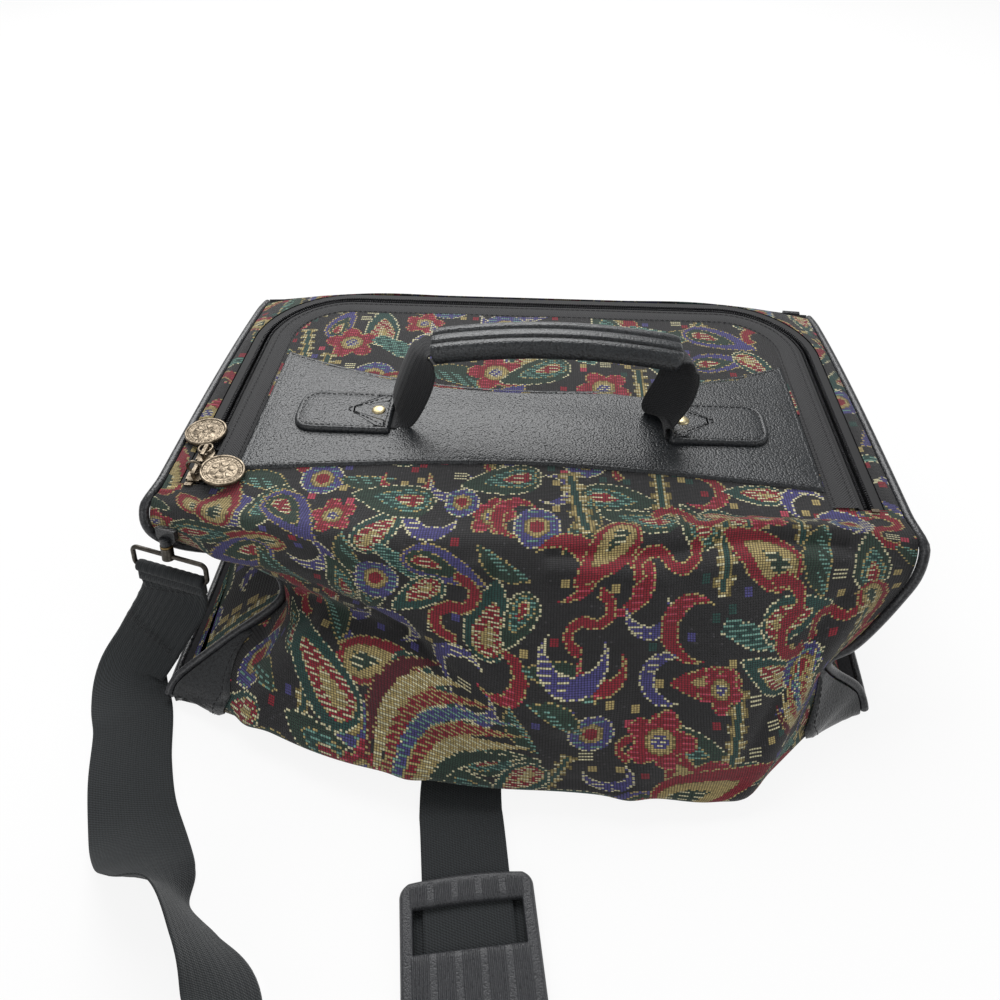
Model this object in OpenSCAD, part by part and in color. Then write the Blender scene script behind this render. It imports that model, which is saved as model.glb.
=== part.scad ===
// A soft travel bag of tapestry cloth, empty and slumped on the ground, with a zipped lid, a carry
// handle on the lid, piped end panels that fold inward like bellows, and a shoulder strap with a pad.
// The bag's length runs along X, its front faces -Y and Z is up. The origin is on the ground, under
// the middle of the bag. Sizes are in millimetres.

/* [Bag] */
// Width across the end seams
bag_w = 362; // [330:1:400]
// Depth of the top, from the front fold to the back edge
top_d = 214; // [196:1:236]
// Height of the lid above the ground in the slumped bag
lid_h = 88; // [80:1:98]
// How far the front belly reaches forward of the front fold
belly_reach = 86; // [72:1:96]
// How far the back belly reaches behind the top
back_reach = 28; // [20:1:38]
// Height of the base above the ground, over the strap that runs under it
base_lift = 3.6; // [3.2:0.1:6]
// Thickness of the lined tapestry
cloth_t = 2.4; // [1.6:0.1:3]
// How much deeper the middle of an end panel folds in than its seams
bellows_depth = 9; // [0:1:16]
// Radius of the piping along the end seams
pipe_r = 2.4; // [1.8:0.1:3]
// Thickness of the vinyl of the corner patches and the band
vinyl_t = 1.1; // [0.8:0.1:1.6]

/* [Lid and zip] */
// Distance of the lid's hinge line behind the front fold
hinge_back = 20; // [16:1:26]
// Distance of the zip's middle line from the end seams
zip_inset = 15; // [14:1:22]
// Corner radius of the zip's middle line at the back
zip_corner_r = 50; // [35:1:60]
// Half the width of the zip with its tapes
zip_half = 7; // [6.4:0.1:9]
// Width of the twill binding along the lid's edge
binding_w = 13; // [9:1:18]
// Thickness of the twill binding
binding_t = 1.2; // [0.8:0.1:1.6]
// Width of one row of zip coil
coil_w = 1.7; // [1.4:0.1:2]
// Height of the zip coil
coil_h = 2.2; // [1.8:0.1:2.6]
// Half the gap between the two rows of coil
coil_gap = 0.8; // [0.7:0.05:1]
// Distance from the hinge line to the zip's front end
zip_start = 6.5; // [6:0.5:9]
// Free travel of the front slider before it meets the rear one
slider_play = 3; // [1:0.5:6]
// Travel of the rear slider along the straight left side
slider_travel = 90; // [60:1:110]
// Diameter of the round zip pulls
pull_d = 22; // [18:1:26]

/* [Band and handle] */
// Width of the vinyl band at the middle of the lid
band_mid_w = 62; // [50:1:80]
// Distance of the band's middle behind the lid's hinge line
band_back = 60; // [54:1:68]
// How much further back the band's rear edge runs at the ends
band_flare_back = 32; // [10:1:40]
// How much further forward the band's front edge runs at the ends
band_flare_front = 12; // [4:1:16]
// Length of a handle tab
tab_l = 53; // [44:1:60]
// Width of a handle tab
tab_w = 33; // [26:1:38]
// Thickness of a handle tab
tab_t = 3.6; // [2.4:0.1:5]
// Distance between the inner ends of the two tabs
tab_span = 148; // [130:1:160]
// Radius of a rivet's head
rivet_r = 3.8; // [3:0.1:5]
// Width of the handle's webbing
handle_web_w = 24; // [20:1:26]
// Length of the wrapped grip
grip_l = 122; // [100:1:130]
// Width of the wrapped grip
grip_w = 23; // [18:1:28]
// Thickness of the wrapped grip
grip_t = 10; // [8:0.5:14]
// Height of the grip's middle above the lid
grip_rise = 53; // [44:1:64]
// How far the slack handle leans toward the right
handle_lean = 12; // [0:1:14]

/* [Strap] */
// Width of the strap's webbing
strap_w = 38; // [30:1:40]
// Thickness of the strap's webbing
strap_t = 1.8; // [1.4:0.1:2.2]
// Diameter of the wire of the strap loops
wire_d = 2.4; // [2:0.1:3]
// Height of a strap loop between its two bars
loop_h = 11; // [9:0.5:14]
// Length of the doubled, sewn end of the webbing
strap_end_l = 40; // [34:1:44]
// Width of the shoulder pad
pad_w = 57; // [52:1:64]
// Length of the shoulder pad
pad_l = 178; // [150:1:200]
// Thickness of the shoulder pad
pad_t = 6.5; // [6:0.1:8]
// Travel of the shoulder pad each way along the webbing
pad_travel = 6; // [2:1:10]

/* [Hidden] */
$fn = 48;

// Colours
tapestry = [0.16, 0.12, 0.13];
vinyl = [0.07, 0.07, 0.07];
twill = [0.05, 0.05, 0.055];
webbing = [0.06, 0.06, 0.065];
nickel = [0.66, 0.6, 0.5];
pale_brass = [0.75, 0.68, 0.5];
antique_brass = [0.42, 0.34, 0.2];
dark_steel = [0.16, 0.15, 0.14];
rubber = [0.1, 0.1, 0.1];

// Clearances
seat_gap = 0.3;
run_gap = 0.05;

// Places along Y, from the driving sizes
depth = belly_reach + top_d + back_reach;
fold_y = belly_reach - depth / 2;
back_y = depth / 2 - back_reach;
hinge_y = fold_y + hinge_back;
hinge_z = lid_h;
half_w = bag_w / 2;

// Small helpers
function lerp(a, b, t) = a + (b - a) * t;
function unit(v) = v / max(norm(v), 1e-9);
function blend(p0, p1, p2, p3, u) = 0.5 * (2 * p1 + (p2 - p0) * u
    + (2 * p0 - 5 * p1 + 4 * p2 - p3) * u * u + (3 * p1 - p0 - 3 * p2 + p3) * u * u * u);
// The point at s, from 0 to len(P) - 1, on the smooth line through the points P
function along(P, s) = let (n = len(P) - 1, i = min(floor(s), n - 1), u = s - i)
    blend(P[max(i - 1, 0)], P[i], P[i + 1], P[min(i + 2, n)], u);

// The front panel's shape. Each row runs from the left seam to the right one, from the front fold
// down over the crease and the belly to the base. A point is its place across in half widths, how
// far it lies in front of the fold in shares of the belly's reach, and its height in shares of lid_h.
front_rows = [
    [[-1.016, -0.17, 0.97], [-0.63, 0.02, 1], [-0.32, 0.1, 1], [0, 0.09, 1], [0.32, -0.01, 1],
     [0.63, -0.13, 1], [1.016, -0.1, 0.97]],
    [[-1.01, -0.08, 0.86], [-0.59, 0.14, 0.9], [-0.32, 0.24, 0.88], [0, 0.31, 0.85],
     [0.32, 0.27, 0.85], [0.62, 0.16, 0.85], [1.01, 0, 0.83]],
    [[-0.94, -0.08, 0.72], [-0.59, 0.19, 0.74], [-0.32, 0.36, 0.73], [0, 0.51, 0.68],
     [0.32, 0.47, 0.68], [0.62, 0.41, 0.64], [0.97, 0.08, 0.67]],
    [[-0.75, -0.13, 0.56], [-0.6, 0.1, 0.54], [-0.31, 0.41, 0.62], [0, 0.71, 0.51],
     [0.32, 0.67, 0.52], [0.62, 0.6, 0.48], [0.87, 0.25, 0.5]],
    [[-0.67, 0.06, 0.43], [-0.61, 0.35, 0.46], [-0.3, 0.64, 0.52], [0, 0.86, 0.37],
     [0.32, 0.85, 0.35], [0.63, 0.76, 0.31], [0.81, 0.31, 0.4]],
    [[-0.82, 0.28, 0.27], [-0.61, 0.6, 0.31], [-0.29, 0.82, 0.34], [0, 0.95, 0.22],
     [0.33, 0.95, 0.2], [0.62, 0.86, 0.16], [0.85, 0.3, 0.26]],
    [[-0.955, 0.45, 0.11], [-0.61, 0.8, 0.13], [-0.3, 0.965, 0.13], [0, 0.965, 0.1],
     [0.33, 0.965, 0.1], [0.58, 0.91, 0.07], [0.935, 0.3, 0.12]],
    [[-0.97, 0.45, 0], [-0.61, 0.48, 0], [-0.31, 0.47, 0], [0, 0.46, 0], [0.31, 0.46, 0],
     [0.6, 0.47, 0], [0.96, 0.31, 0]],
];
// The back panel's rows, from the base up to the back edge: how far the middle and the ends lie
// behind the top in shares of back_reach, the height, and how far the ends fold inward
back_rows = [
    [-0.64, -0.64, 0, 0.025],
    [0.84, -0.3, 0.16, 0.05],
    [1, -0.5, 0.36, 0.2],
    [0.8, -0.4, 0.6, 0.22],
    [0.4, -0.1, 0.84, 0.03],
];
// The columns' places across the bag, in half widths
across = [-1, -0.62, -0.31, 0, 0.31, 0.62, 1];
seam_lift = 1.8;
// How far the top's two rear corners droop
rear_droop = 7.5;

function front_point(p) = [p.x * half_w, fold_y - p.y * belly_reach, p.z * lid_h];
function back_point(row, a) = let (e = pow(abs(a), 3))
    [a * half_w * (1 - e * row[3]), back_y + lerp(row[0], row[1], e) * back_reach, row[2] * lid_h];
function base_point(a, t) =
    [a * half_w * 0.975, lerp(fold_y - 0.47 * belly_reach, back_y - 0.64 * back_reach, t), base_lift];
net = concat(
    [[for (a = across) [a * half_w, hinge_y - seat_gap, lid_h]]],
    [for (row = front_rows) [for (p = row) front_point(p)]],
    [for (t = [1 / 3, 2 / 3]) [for (a = across) base_point(a, t)]],
    [for (row = back_rows) [for (a = across) back_point(row, a)]],
    [[for (a = across) [a * half_w, back_y + cloth_t + seat_gap,
        lid_h - 1 - (abs(a) == 1 ? rear_droop : 0)]]]
);
// Rows of the net at the front fold, the base's front edge, its back edge and the back's top
fold_row = 1;
base_front_row = 8;
base_back_row = 11;
rim_row = len(net) - 1;
right_column = len(across) - 1;

// The outer surface of the main panel at row s and column c
function floor_z(c) = lerp(base_lift, seam_lift, pow(abs(c / 3 - 1), 8));
// The front left corner of the base rides over the strap
function strap_lift(s, c) = s < 7 ? 0
    : (strap_t + 0.9) * max(0, min(1, (8.8 - s) * 2)) * max(0, min(1, 1.3 - c));
function skin(s, c) = let (p = along([for (row = net) along(row, c)], s))
    [p.x, p.y, max(p.z, floor_z(c) + strap_lift(s, c))];
nudge = 0.04;
function skin_down(s, c) = unit(skin(min(s + nudge, rim_row), c) - skin(max(s - nudge, 0), c));
function skin_across(s, c) =
    unit(skin(s, min(c + nudge, right_column)) - skin(s, max(c - nudge, 0)));
function skin_normal(s, c) = unit(cross(skin_down(s, c), skin_across(s, c)));

// A closed solid between two grids of points, outer and inner
module sheet(outer, inner, flip = false) {
    rows = len(outer);
    cols = len(outer[0]);
    n = rows * cols;
    function at(i, j) = i * cols + j;
    front = [for (i = [0 : rows - 2], j = [0 : cols - 2])
        let (a = at(i, j), b = at(i + 1, j), c = at(i + 1, j + 1), d = at(i, j + 1))
        each [[a, d, c], [a, c, b], [a + n, c + n, d + n], [a + n, b + n, c + n]]];
    sides = [for (i = [0 : rows - 2])
        let (a = at(i, 0), b = at(i + 1, 0), c = at(i + 1, cols - 1), d = at(i, cols - 1))
        each [[a, b, b + n], [a, b + n, a + n], [c, d, d + n], [c, d + n, c + n]]];
    ends = [for (j = [0 : cols - 2])
        let (a = at(0, j), d = at(0, j + 1), b = at(rows - 1, j), c = at(rows - 1, j + 1))
        each [[d, a, a + n], [d, a + n, d + n], [b, c, c + n], [b, c + n, b + n]]];
    faces = concat(front, sides, ends);
    polyhedron(
        [for (row = outer) each row, for (row = inner) each row],
        flip ? [for (f = faces) [f[0], f[2], f[1]]] : faces,
        convexity = 10
    );
}

// A closed solid swept through rings of points, capped at its ends or joined to its start
module swept(rings, closed = false) {
    count = len(rings);
    sides = len(rings[0]);
    last = closed ? count - 1 : count - 2;
    walls = [for (i = [0 : last], j = [0 : sides - 1])
        let (a = i * sides + j, b = i * sides + (j + 1) % sides,
             k = ((i + 1) % count) * sides, c = k + (j + 1) % sides, d = k + j)
        each [[a, c, b], [a, d, c]]];
    caps = closed ? [] : [
        [for (j = [0 : sides - 1]) j],
        [for (j = [sides - 1 : -1 : 0]) (count - 1) * sides + j],
    ];
    polyhedron([for (r = rings) each r], concat(walls, caps), convexity = 10);
}

// The main panel: one piece of cloth over the front, under the base and up the back
panel_rows = [for (s = [0 : 1 / 3 : rim_row + 0.01]) min(s, rim_row)];
panel_columns = [for (c = [0 : 0.25 : right_column]) c];
module main_panel() {
    outer = [for (s = panel_rows) [for (c = panel_columns) skin(s, c)]];
    inner = [for (s = panel_rows) [for (c = panel_columns) skin(s, c) - skin_normal(s, c) * cloth_t]];
    color(tapestry) sheet(outer, inner);
}

// An end panel: cloth between the front and back seams that folds inward at half its height
panel_bulge = 13;
low_bulge = 8;
// Where the end panels' seams end, just above the base
end_front_s = 7.1;
end_back_s = 11.6;
function seam_inside(s, c) = let (side = c == 0 ? 1 : -1,
        p = skin(s, c) - skin_normal(s, c) * (cloth_t + 0.9) + [side * 2.4, 0, 0])
    [p.x, p.y, max(p.z, base_lift + strap_lift(end_front_s, c) + cloth_t + 2)];
function end_point(c, w, t) = let (side = c == 0 ? 1 : -1,
        front = seam_inside(lerp(fold_row, end_front_s, w), c),
        back = seam_inside(lerp(rim_row, end_back_s, w), c),
        fold = bellows_depth * sin(180 * t) * sin(180 * w),
        swell = w < 0.3 ? panel_bulge * sin(180 * t) * sin(600 * w)
            : w > 0.7 ? low_bulge * sin(180 * t) * sin(600 * (1 - w)) : 0)
    under_pipe(lerp(front, back, t) + [side * (fold - swell), 0, 0]);
function under_pipe(p) =
    [p.x, p.y, min(p.z, edge_z(p.y) - cloth_t / 2 - pipe_r - 1)];
module end_panel(c) {
    side = c == 0 ? 1 : -1;
    heights = [for (w = [0 : 1 / 18 : 1.001]) min(w, 1)];
    places = [for (t = [0 : 1 / 10 : 1.001]) min(t, 1)];
    function turned(p) = [p.x * side, p.y, p.z];
    outer = [for (w = heights) [for (t = places) turned(end_point(c, w, t))]];
    inner = [for (w = heights) [for (t = places)
        let (down = end_point(c, min(w + nudge, 1), t) - end_point(c, max(w - nudge, 0), t),
             back = end_point(c, w, min(t + nudge, 1)) - end_point(c, w, max(t - nudge, 0)))
        turned(end_point(c, w, t) - unit(cross(back, down)) * side * cloth_t)]];
    color(tapestry) mirror([c == 0 ? 0 : 1, 0, 0]) sheet(outer, inner, true);
}

// The piping: a vinyl cord sewn round each end panel's seam
function pipe_path(c) = let (side = c == 0 ? -1 : 1, reach = pipe_r + 0.35,
        rise = [for (s = [fold_row : 1 / 3 : rim_row + 0.01])
            let (s2 = min(s, rim_row), n = skin_normal(s2, c), d = skin_down(s2, c),
                 w = skin_across(s2, c) * side, out = unit(w - d * (w * d)),
                 p = skin(s2, c) + unit(out + 0.35 * n) * reach)
            [p.x, p.y, max(p.z, pipe_r + strap_lift(s2, c))]],
        top_x = side * (half_w + reach),
        ahead = rise[len(rise) - 1].y, behind = rise[0].y)
    concat(rise, [for (t = [0.08 : 0.12 : 0.93])
        let (y = lerp(ahead, behind, t)) [top_x, y, edge_z(y) - cloth_t / 2]]);
module piping(c) {
    path = pipe_path(c);
    count = len(path);
    rings = [for (i = [0 : count - 1])
        let (t = unit(path[(i + 1) % count] - path[(i + count - 1) % count]),
             a = unit([1, 0, 0] - t * t.x), b = cross(t, a))
        [for (k = [0 : 7]) path[i] + (a * cos(45 * k) + b * sin(45 * k)) * pipe_r]];
    color(vinyl) swept(rings, closed = true);
}

// The vinyl patches over the four lower corners
patch_gap = 0.75;
// A point on the flat faces between the panel's own rows and columns
function panel_point(s, c) = let (i = floor(s * 3 + 0.001), j = min(floor(c * 4 + 0.001), right_column * 4 - 1),
        u = s * 3 - i, v = c * 4 - j, a = skin(i / 3, j / 4), b = skin((i + 1) / 3, j / 4),
        far = skin((i + 1) / 3, (j + 1) / 4), d = skin(i / 3, (j + 1) / 4))
    u > v ? a + (b - a) * u + (far - b) * v : a + (d - a) * v + (far - d) * u;
module corner_patch(c, rows, steps) {
    side = c == 0 ? 1 : -1;
    function taper(i) = min(1, 2.4 * i / steps);
    function cc(i, j) = c + side * (j == 0 ? 0.03 : lerp(0.03 + j / 40, j / 8, taper(i)));
    function ss(i) = lerp(rows[0], rows[1], i / steps);
    function gap(i) = patch_gap * (1 + i / steps);
    outer = [for (i = [0 : steps]) [for (j = [0 : 4])
        panel_point(ss(i), cc(i, j)) + skin_normal(ss(i), cc(i, j)) * (gap(i) + vinyl_t)]];
    inner = [for (i = [0 : steps]) [for (j = [0 : 4])
        panel_point(ss(i), cc(i, j)) + skin_normal(ss(i), cc(i, j)) * gap(i)]];
    color(vinyl) sheet(outer, inner, (side < 0) != (rows[1] < rows[0]));
}

// The zip's middle line, moved outward by o, as a flat outline that starts at y
module track(o, y) {
    w = half_w - zip_inset + o;
    r = zip_corner_r + o;
    back = back_y - zip_half + o;
    translate([-w, y]) square([2 * w, back - r - y]);
    translate([-w + r, y]) square([2 * (w - r), back - y]);
    for (side = [-1, 1]) translate([side * (w - r), back - r]) circle(r);
}
module ribbon(from, to, y) {
    difference() {
        track(to, y);
        track(from, y - 1);
    }
}
zip_y = hinge_y + zip_start;
zip_mid_z = lid_h - 1;
tape_t = 0.8;

// The strip of cloth between the zip and the piping
function edge_z(y) = lid_h - 0.6 - (rear_droop - 0.3) * pow((y - hinge_y) / (back_y - hinge_y), 3);
gusset_r = zip_corner_r + zip_half;
gusset_front = 1.5;
function gusset_rows() = let (straight = back_y - gusset_r)
    concat([for (t = [0 : 0.125 : 0.99]) lerp(zip_y, straight, t)],
        [for (a = [0 : 10 : 81]) straight + gusset_r * sin(a)]);
function gusset_inner_x(y) = half_w - zip_inset + zip_half + seat_gap - gusset_r
    + sqrt(max(0, pow(gusset_r, 2) - pow(max(0, y - back_y + gusset_r), 2)));
module top_gusset() {
    color(tapestry) for (side = [-1, 1]) {
        upper = [for (y = gusset_rows()) [for (v = [0 : 0.25 : 1])
            [side * lerp(half_w, gusset_inner_x(y), v), y - 2.4 * pow(1 - v, 2) * max(0, y - back_y + 3) / 3,
                lerp(edge_z(y), lid_h, v)]]];
        lower = [for (row = upper) [for (q = row) q - [0, 0, cloth_t]]];
        sheet(upper, lower, side < 0);
        translate([side * half_w - (side > 0 ? half_w - gusset_front_x : 0), hinge_y + gusset_front,
            lid_h - 0.6 - cloth_t])
            cube([half_w - gusset_front_x, zip_start - gusset_front - seat_gap, cloth_t]);
    }
}
gusset_front_x = half_w - zip_inset - zip_half + 2 * seat_gap;
// The sliders are parked at the left front end. The front one rides on the lid's side of the zip
// and the rear one on the bag's side, so each side's strip is left out at the other's slider.
slider_l = 11;
slider_w = 8.4;
front_slider_y = zip_y + slider_l / 2 + seat_gap;
rear_slider_y = front_slider_y + slider_l + slider_play + 0.5;
body_zip_y = rear_slider_y - slider_l / 2 - 0.2;
lid_zip_y = rear_slider_y + slider_l / 2 + 0.5;
module left_stretch(y1, y2) {
    translate([-bag_w, y1]) square([bag_w, y2 - y1]);
}
module body_edge(from, to) {
    difference() {
        ribbon(from, to, zip_y);
        left_stretch(zip_y - 1, body_zip_y);
    }
}
module zip_tape_body() {
    color(twill) translate([0, 0, zip_mid_z - tape_t / 2]) linear_extrude(tape_t) {
        body_edge(coil_gap + coil_w + 0.1, zip_half - 0.1);
        intersection() {
            ribbon(slider_w / 2 + 0.4, zip_half - 0.1, zip_y);
            left_stretch(zip_y, body_zip_y + 1);
        }
    }
}
module zip_coil_body() {
    color(twill) translate([0, 0, zip_mid_z - coil_h / 2]) linear_extrude(coil_h)
        body_edge(coil_gap, coil_gap + coil_w);
}
module zip_end_stop() {
    color(nickel) for (side = [-1, 1])
        translate([side * (half_w - zip_inset + 2) - 1.8, zip_y - 2.3, lid_h])
            cube([3.6, 2, 1]);
}

module lid_edge(from, to) {
    difference() {
        ribbon(from, to, zip_y + seat_gap);
        left_stretch(body_zip_y - 0.1, lid_zip_y);
    }
}
module zip_tape_lid() {
    color(twill) translate([0, 0, zip_mid_z - tape_t / 2]) linear_extrude(tape_t) {
        lid_edge(-zip_half + 0.1, -coil_gap - coil_w - 0.1);
        intersection() {
            ribbon(-zip_half + 0.1, -slider_w / 2 - 0.4, zip_y + 1);
            left_stretch(zip_y + 1, lid_zip_y + 1);
        }
    }
}
module zip_coil_lid() {
    color(twill) translate([0, 0, zip_mid_z - coil_h / 2]) linear_extrude(coil_h)
        lid_edge(-coil_gap - coil_w, -coil_gap);
}
binding_edge = -5.2;
module lid_binding() {
    color(twill) translate([0, 0, lid_h]) linear_extrude(binding_t)
        ribbon(binding_edge - binding_w, binding_edge, hinge_y + 6);
}

// The lid: tapestry, with the rivets' holes through it
band_y = hinge_y + band_back;
handle_y = band_y + 4;
tab_inner = tab_span / 2;
rivet_x = tab_inner + 8;
rivet_shank = 1.5;
module rivet_holes(z, h) {
    for (side = [-1, 1]) translate([side * rivet_x, handle_y, z]) cylinder(h = h, r = rivet_shank + 0.1);
}
module lid_panel() {
    color(tapestry) difference() {
        translate([0, 0, lid_h - cloth_t]) linear_extrude(cloth_t) intersection() {
            track(-zip_half, hinge_y + seat_gap);
            translate([-half_w, hinge_y + seat_gap]) square([bag_w, top_d]);
        }
        rivet_holes(lid_h - cloth_t - 1, cloth_t + 2);
    }
}

// The vinyl band across the lid, wider at its ends
band_half = half_w - zip_inset + binding_edge - binding_w - 0.2;
module lid_band() {
    steps = 16;
    rear = [for (i = [-steps : steps]) let (a = i / steps)
        [a * band_half, band_y + band_mid_w / 2 + band_flare_back * pow(abs(a), 2.2)]];
    front = [for (i = [steps : -1 : -steps]) let (a = i / steps)
        [a * band_half, band_y - band_mid_w / 2 - band_flare_front * pow(abs(a), 1.6)]];
    color(vinyl) difference() {
        translate([0, 0, lid_h]) linear_extrude(vinyl_t) polygon(concat(rear, front));
        rivet_holes(lid_h - 1, vinyl_t + 2);
    }
}

// A handle tab: padded vinyl with a round outer end, and a pocket for the webbing below
tab_z = lid_h + vinyl_t;
web_t = 1.6;
module tab_outline(inset) {
    l = tab_l - 2 * inset;
    w = tab_w - 2 * inset;
    r = 11 - inset;
    translate([inset, -w / 2]) square([l - r, w]);
    translate([inset, -w / 2 + r]) square([l, w - 2 * r]);
    for (side = [-1, 1]) translate([inset + l - r, side * (w / 2 - r)]) circle(r);
}
module handle_tab(side) {
    color(vinyl) translate([side * tab_inner, handle_y, tab_z]) scale([side, 1, 1]) difference() {
        union() {
            linear_extrude(tab_t - 0.8) tab_outline(0);
            translate([0, 0, tab_t - 0.8]) linear_extrude(0.8) tab_outline(1.6);
        }
        translate([-1, -handle_web_w / 2 - 0.2, -1]) cube([22, handle_web_w + 0.4, web_t + 1.2]);
        translate([8, 0, -1]) cylinder(h = tab_t + 2, r = rivet_shank + 0.1);
    }
}
module handle_rivet(side) {
    head = tab_z + tab_t;
    color(pale_brass) translate([side * rivet_x, handle_y, 0]) {
        translate([0, 0, head]) rotate_extrude() polygon(concat([[0, 0]],
            [for (k = [0 : 6]) [rivet_r * cos(15 * k), 1.5 * sin(15 * k)]]));
        translate([0, 0, lid_h - cloth_t]) cylinder(h = head - lid_h + cloth_t, r = rivet_shank);
        translate([0, 0, lid_h - cloth_t - 0.9]) cylinder(h = 0.9, r = rivet_r);
    }
}

// The handle's middle line, from under the left tab over the grip to under the right one
web_z = tab_z + web_t / 2 + 0.1;
grip_left = handle_lean - grip_l / 2;
grip_right = handle_lean + grip_l / 2;
grip_z = lid_h + grip_rise;
handle_path = [
    [-tab_inner - 20, web_z], [-tab_inner - 10, web_z], [-tab_inner, web_z],
    [-tab_inner + 2, web_z + 0.5], [-tab_inner + 6, web_z + 5],
    [lerp(-tab_inner, grip_left, 0.55), lerp(web_z, grip_z, 0.45)],
    [grip_left - 5, grip_z - 12], [grip_left, grip_z - 6],
    [lerp(grip_left, grip_right, 0.25), grip_z - 1.5], [handle_lean, grip_z],
    [lerp(grip_left, grip_right, 0.75), grip_z - 1.5],
    [grip_right, grip_z - 6], [grip_right + 3, grip_z - 12],
    [lerp(tab_inner, grip_right, 0.5) + 1, lerp(web_z, grip_z, 0.45)],
    [tab_inner - 6, web_z + 5], [tab_inner - 2, web_z + 0.5],
    [tab_inner, web_z], [tab_inner + 10, web_z], [tab_inner + 20, web_z],
];
handle_end = len(handle_path) - 1;
grip_from = 7;
grip_to = 11;
function handle_ring(s, outline) = let (p = along(handle_path, s),
        d = unit(along(handle_path, min(s + nudge, handle_end))
            - along(handle_path, max(s - nudge, 0))),
        up = [-d.y, d.x])
    [for (q = outline) [p.x + up.x * q.y, handle_y + q.x, p.y + up.y * q.y]];
function slab(w, t) = [for (q = [[-1, -1], [1, -1], [1, 1], [-1, 1]]) [q.x * w / 2, q.y * t / 2]];
grip_web_w = grip_w - 6;
function web_width(s) = let (in_grip = max(0, min(1, 3.2 - abs(s - 9))))
    lerp(handle_web_w, grip_web_w, in_grip);
module handle_webbing() {
    color(webbing) difference() {
        swept([for (s = [0 : 0.25 : handle_end]) handle_ring(s, slab(web_width(s), web_t))]);
        rivet_holes(lid_h - 1, tab_t + 4);
    }
}
// The wrapped grip: three padded ridges above a flat underside, round the webbing
grip_outline = [
    [-0.5, -0.3], [-0.36, -0.5], [0.36, -0.5], [0.5, -0.3], [0.5, 0.12], [0.4, 0.42], [0.26, 0.46],
    [0.16, 0.32], [0.1, 0.46], [-0.1, 0.46], [-0.16, 0.32], [-0.26, 0.46], [-0.4, 0.42], [-0.5, 0.12],
];
module handle_grip() {
    outer = [for (q = grip_outline) [q.x * grip_w, q.y * grip_t]];
    color(vinyl) difference() {
        swept([for (s = [grip_from : 0.25 : grip_to]) handle_ring(s, outer)]);
        swept([for (s = [grip_from - 0.25 : 0.25 : grip_to + 0.25])
            handle_ring(s, slab(grip_web_w + 0.5, web_t + 0.5))]);
    }
}

// A zip slider: two plates joined by a nose post, with flanges and a bridge for the pull
plate_t = 1.1;
slider_gap = coil_h / 2 + seat_gap;
post_w = 2 * (coil_gap - seat_gap);
flange_t = 0.9;
bridge_w = 1.8;
window_h = 2.3;
bar_t = 1.1;
plate_top = slider_gap + plate_t;
module slider_plan() {
    translate([0, 2]) circle(slider_w / 2 - 0.7);
    translate([-slider_w / 2, -slider_l / 2 + 1.2]) square([slider_w, slider_l / 2 + 0.5]);
    translate([-slider_w / 2 + 1.2, -slider_l / 2]) square([slider_w - 2.4, 3]);
}
module zip_slider(y) {
    color(nickel) translate([-half_w + zip_inset, y, zip_mid_z]) {
        for (z = [-plate_top, slider_gap])
            translate([0, 0, z]) linear_extrude(plate_t) slider_plan();
        translate([-post_w / 2, -slider_l / 2 + 0.6, -slider_gap - 0.1])
            cube([post_w, 2.6, 2 * slider_gap + 0.2]);
        for (side = [-1, 1], z = [tape_t / 2 + seat_gap, -slider_gap - 0.1])
            translate([side * (slider_w - flange_t) / 2 - flange_t / 2, -slider_l / 2 + 1.4, z])
                cube([flange_t, 5, slider_gap - tape_t / 2 - seat_gap + 0.1]);
        difference() {
            translate([-bridge_w / 2, -3.8, plate_top - 0.1])
                cube([bridge_w, 7.6, window_h + bar_t + 0.1]);
            translate([-bridge_w, -2.6, plate_top]) cube([2 * bridge_w, 5.2, window_h]);
        }
    }
}

// A round zip pull: a coin with a raised rim and a ring eye through the bridge's window. The coin
// lies along +Y from the eye's middle.
eye_r = 3.5;
eye_wire = 0.65;
coin_t = 1.8;
coin_y = eye_r + pull_d / 2 - 0.4;
module coin() {
    translate([0, coin_y, -coin_t / 2]) {
        rotate_extrude() polygon([[0, 0], [pull_d / 2, 0], [pull_d / 2, coin_t],
            [pull_d / 2 - 1.4, coin_t], [pull_d / 2 - 1.9, coin_t - 0.5], [0, coin_t - 0.5]]);
        for (k = [0 : 7]) rotate([0, 0, 45 * k]) translate([pull_d * 0.24, 0, coin_t - 0.5])
            cylinder(h = 0.4, r = 1);
        translate([0, 0, coin_t - 0.5]) cylinder(h = 0.5, r = 1.7);
    }
}
module eye() {
    rotate_extrude() translate([eye_r, 0]) circle(r = eye_wire, $fn = 16);
}
// The rear pull lies back over the gusset, its eye flat round the bridge's rear leg
rear_pull_turn = 18;
rear_pull_dip = 1.2;
module pull_rear() {
    color(nickel)
        translate([-half_w + zip_inset, rear_slider_y, zip_mid_z + plate_top + window_h / 2])
        rotate([0, 0, rear_pull_turn]) rotate([-rear_pull_dip, 0, 0]) translate([0, eye_r, 0]) {
            eye();
            coin();
        }
}
// The front pull lies to the right over the binding, its eye upright round the bridge's bar
front_pull_rise = slider_gap + plate_t + seat_gap + eye_wire + eye_r;
coin_reach = coin_y + pull_d / 2;
front_pull_dip = asin((zip_mid_z + front_pull_rise - coin_t / 2 - seat_gap - lid_h - binding_t)
    / coin_reach);
module pull_front() {
    color(nickel) translate([-half_w + zip_inset, front_slider_y, zip_mid_z + front_pull_rise])
        rotate([0, 0, -90]) rotate([-front_pull_dip, 0, 0]) {
            rotate([0, 90, 0]) eye();
            coin();
        }
}

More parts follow.
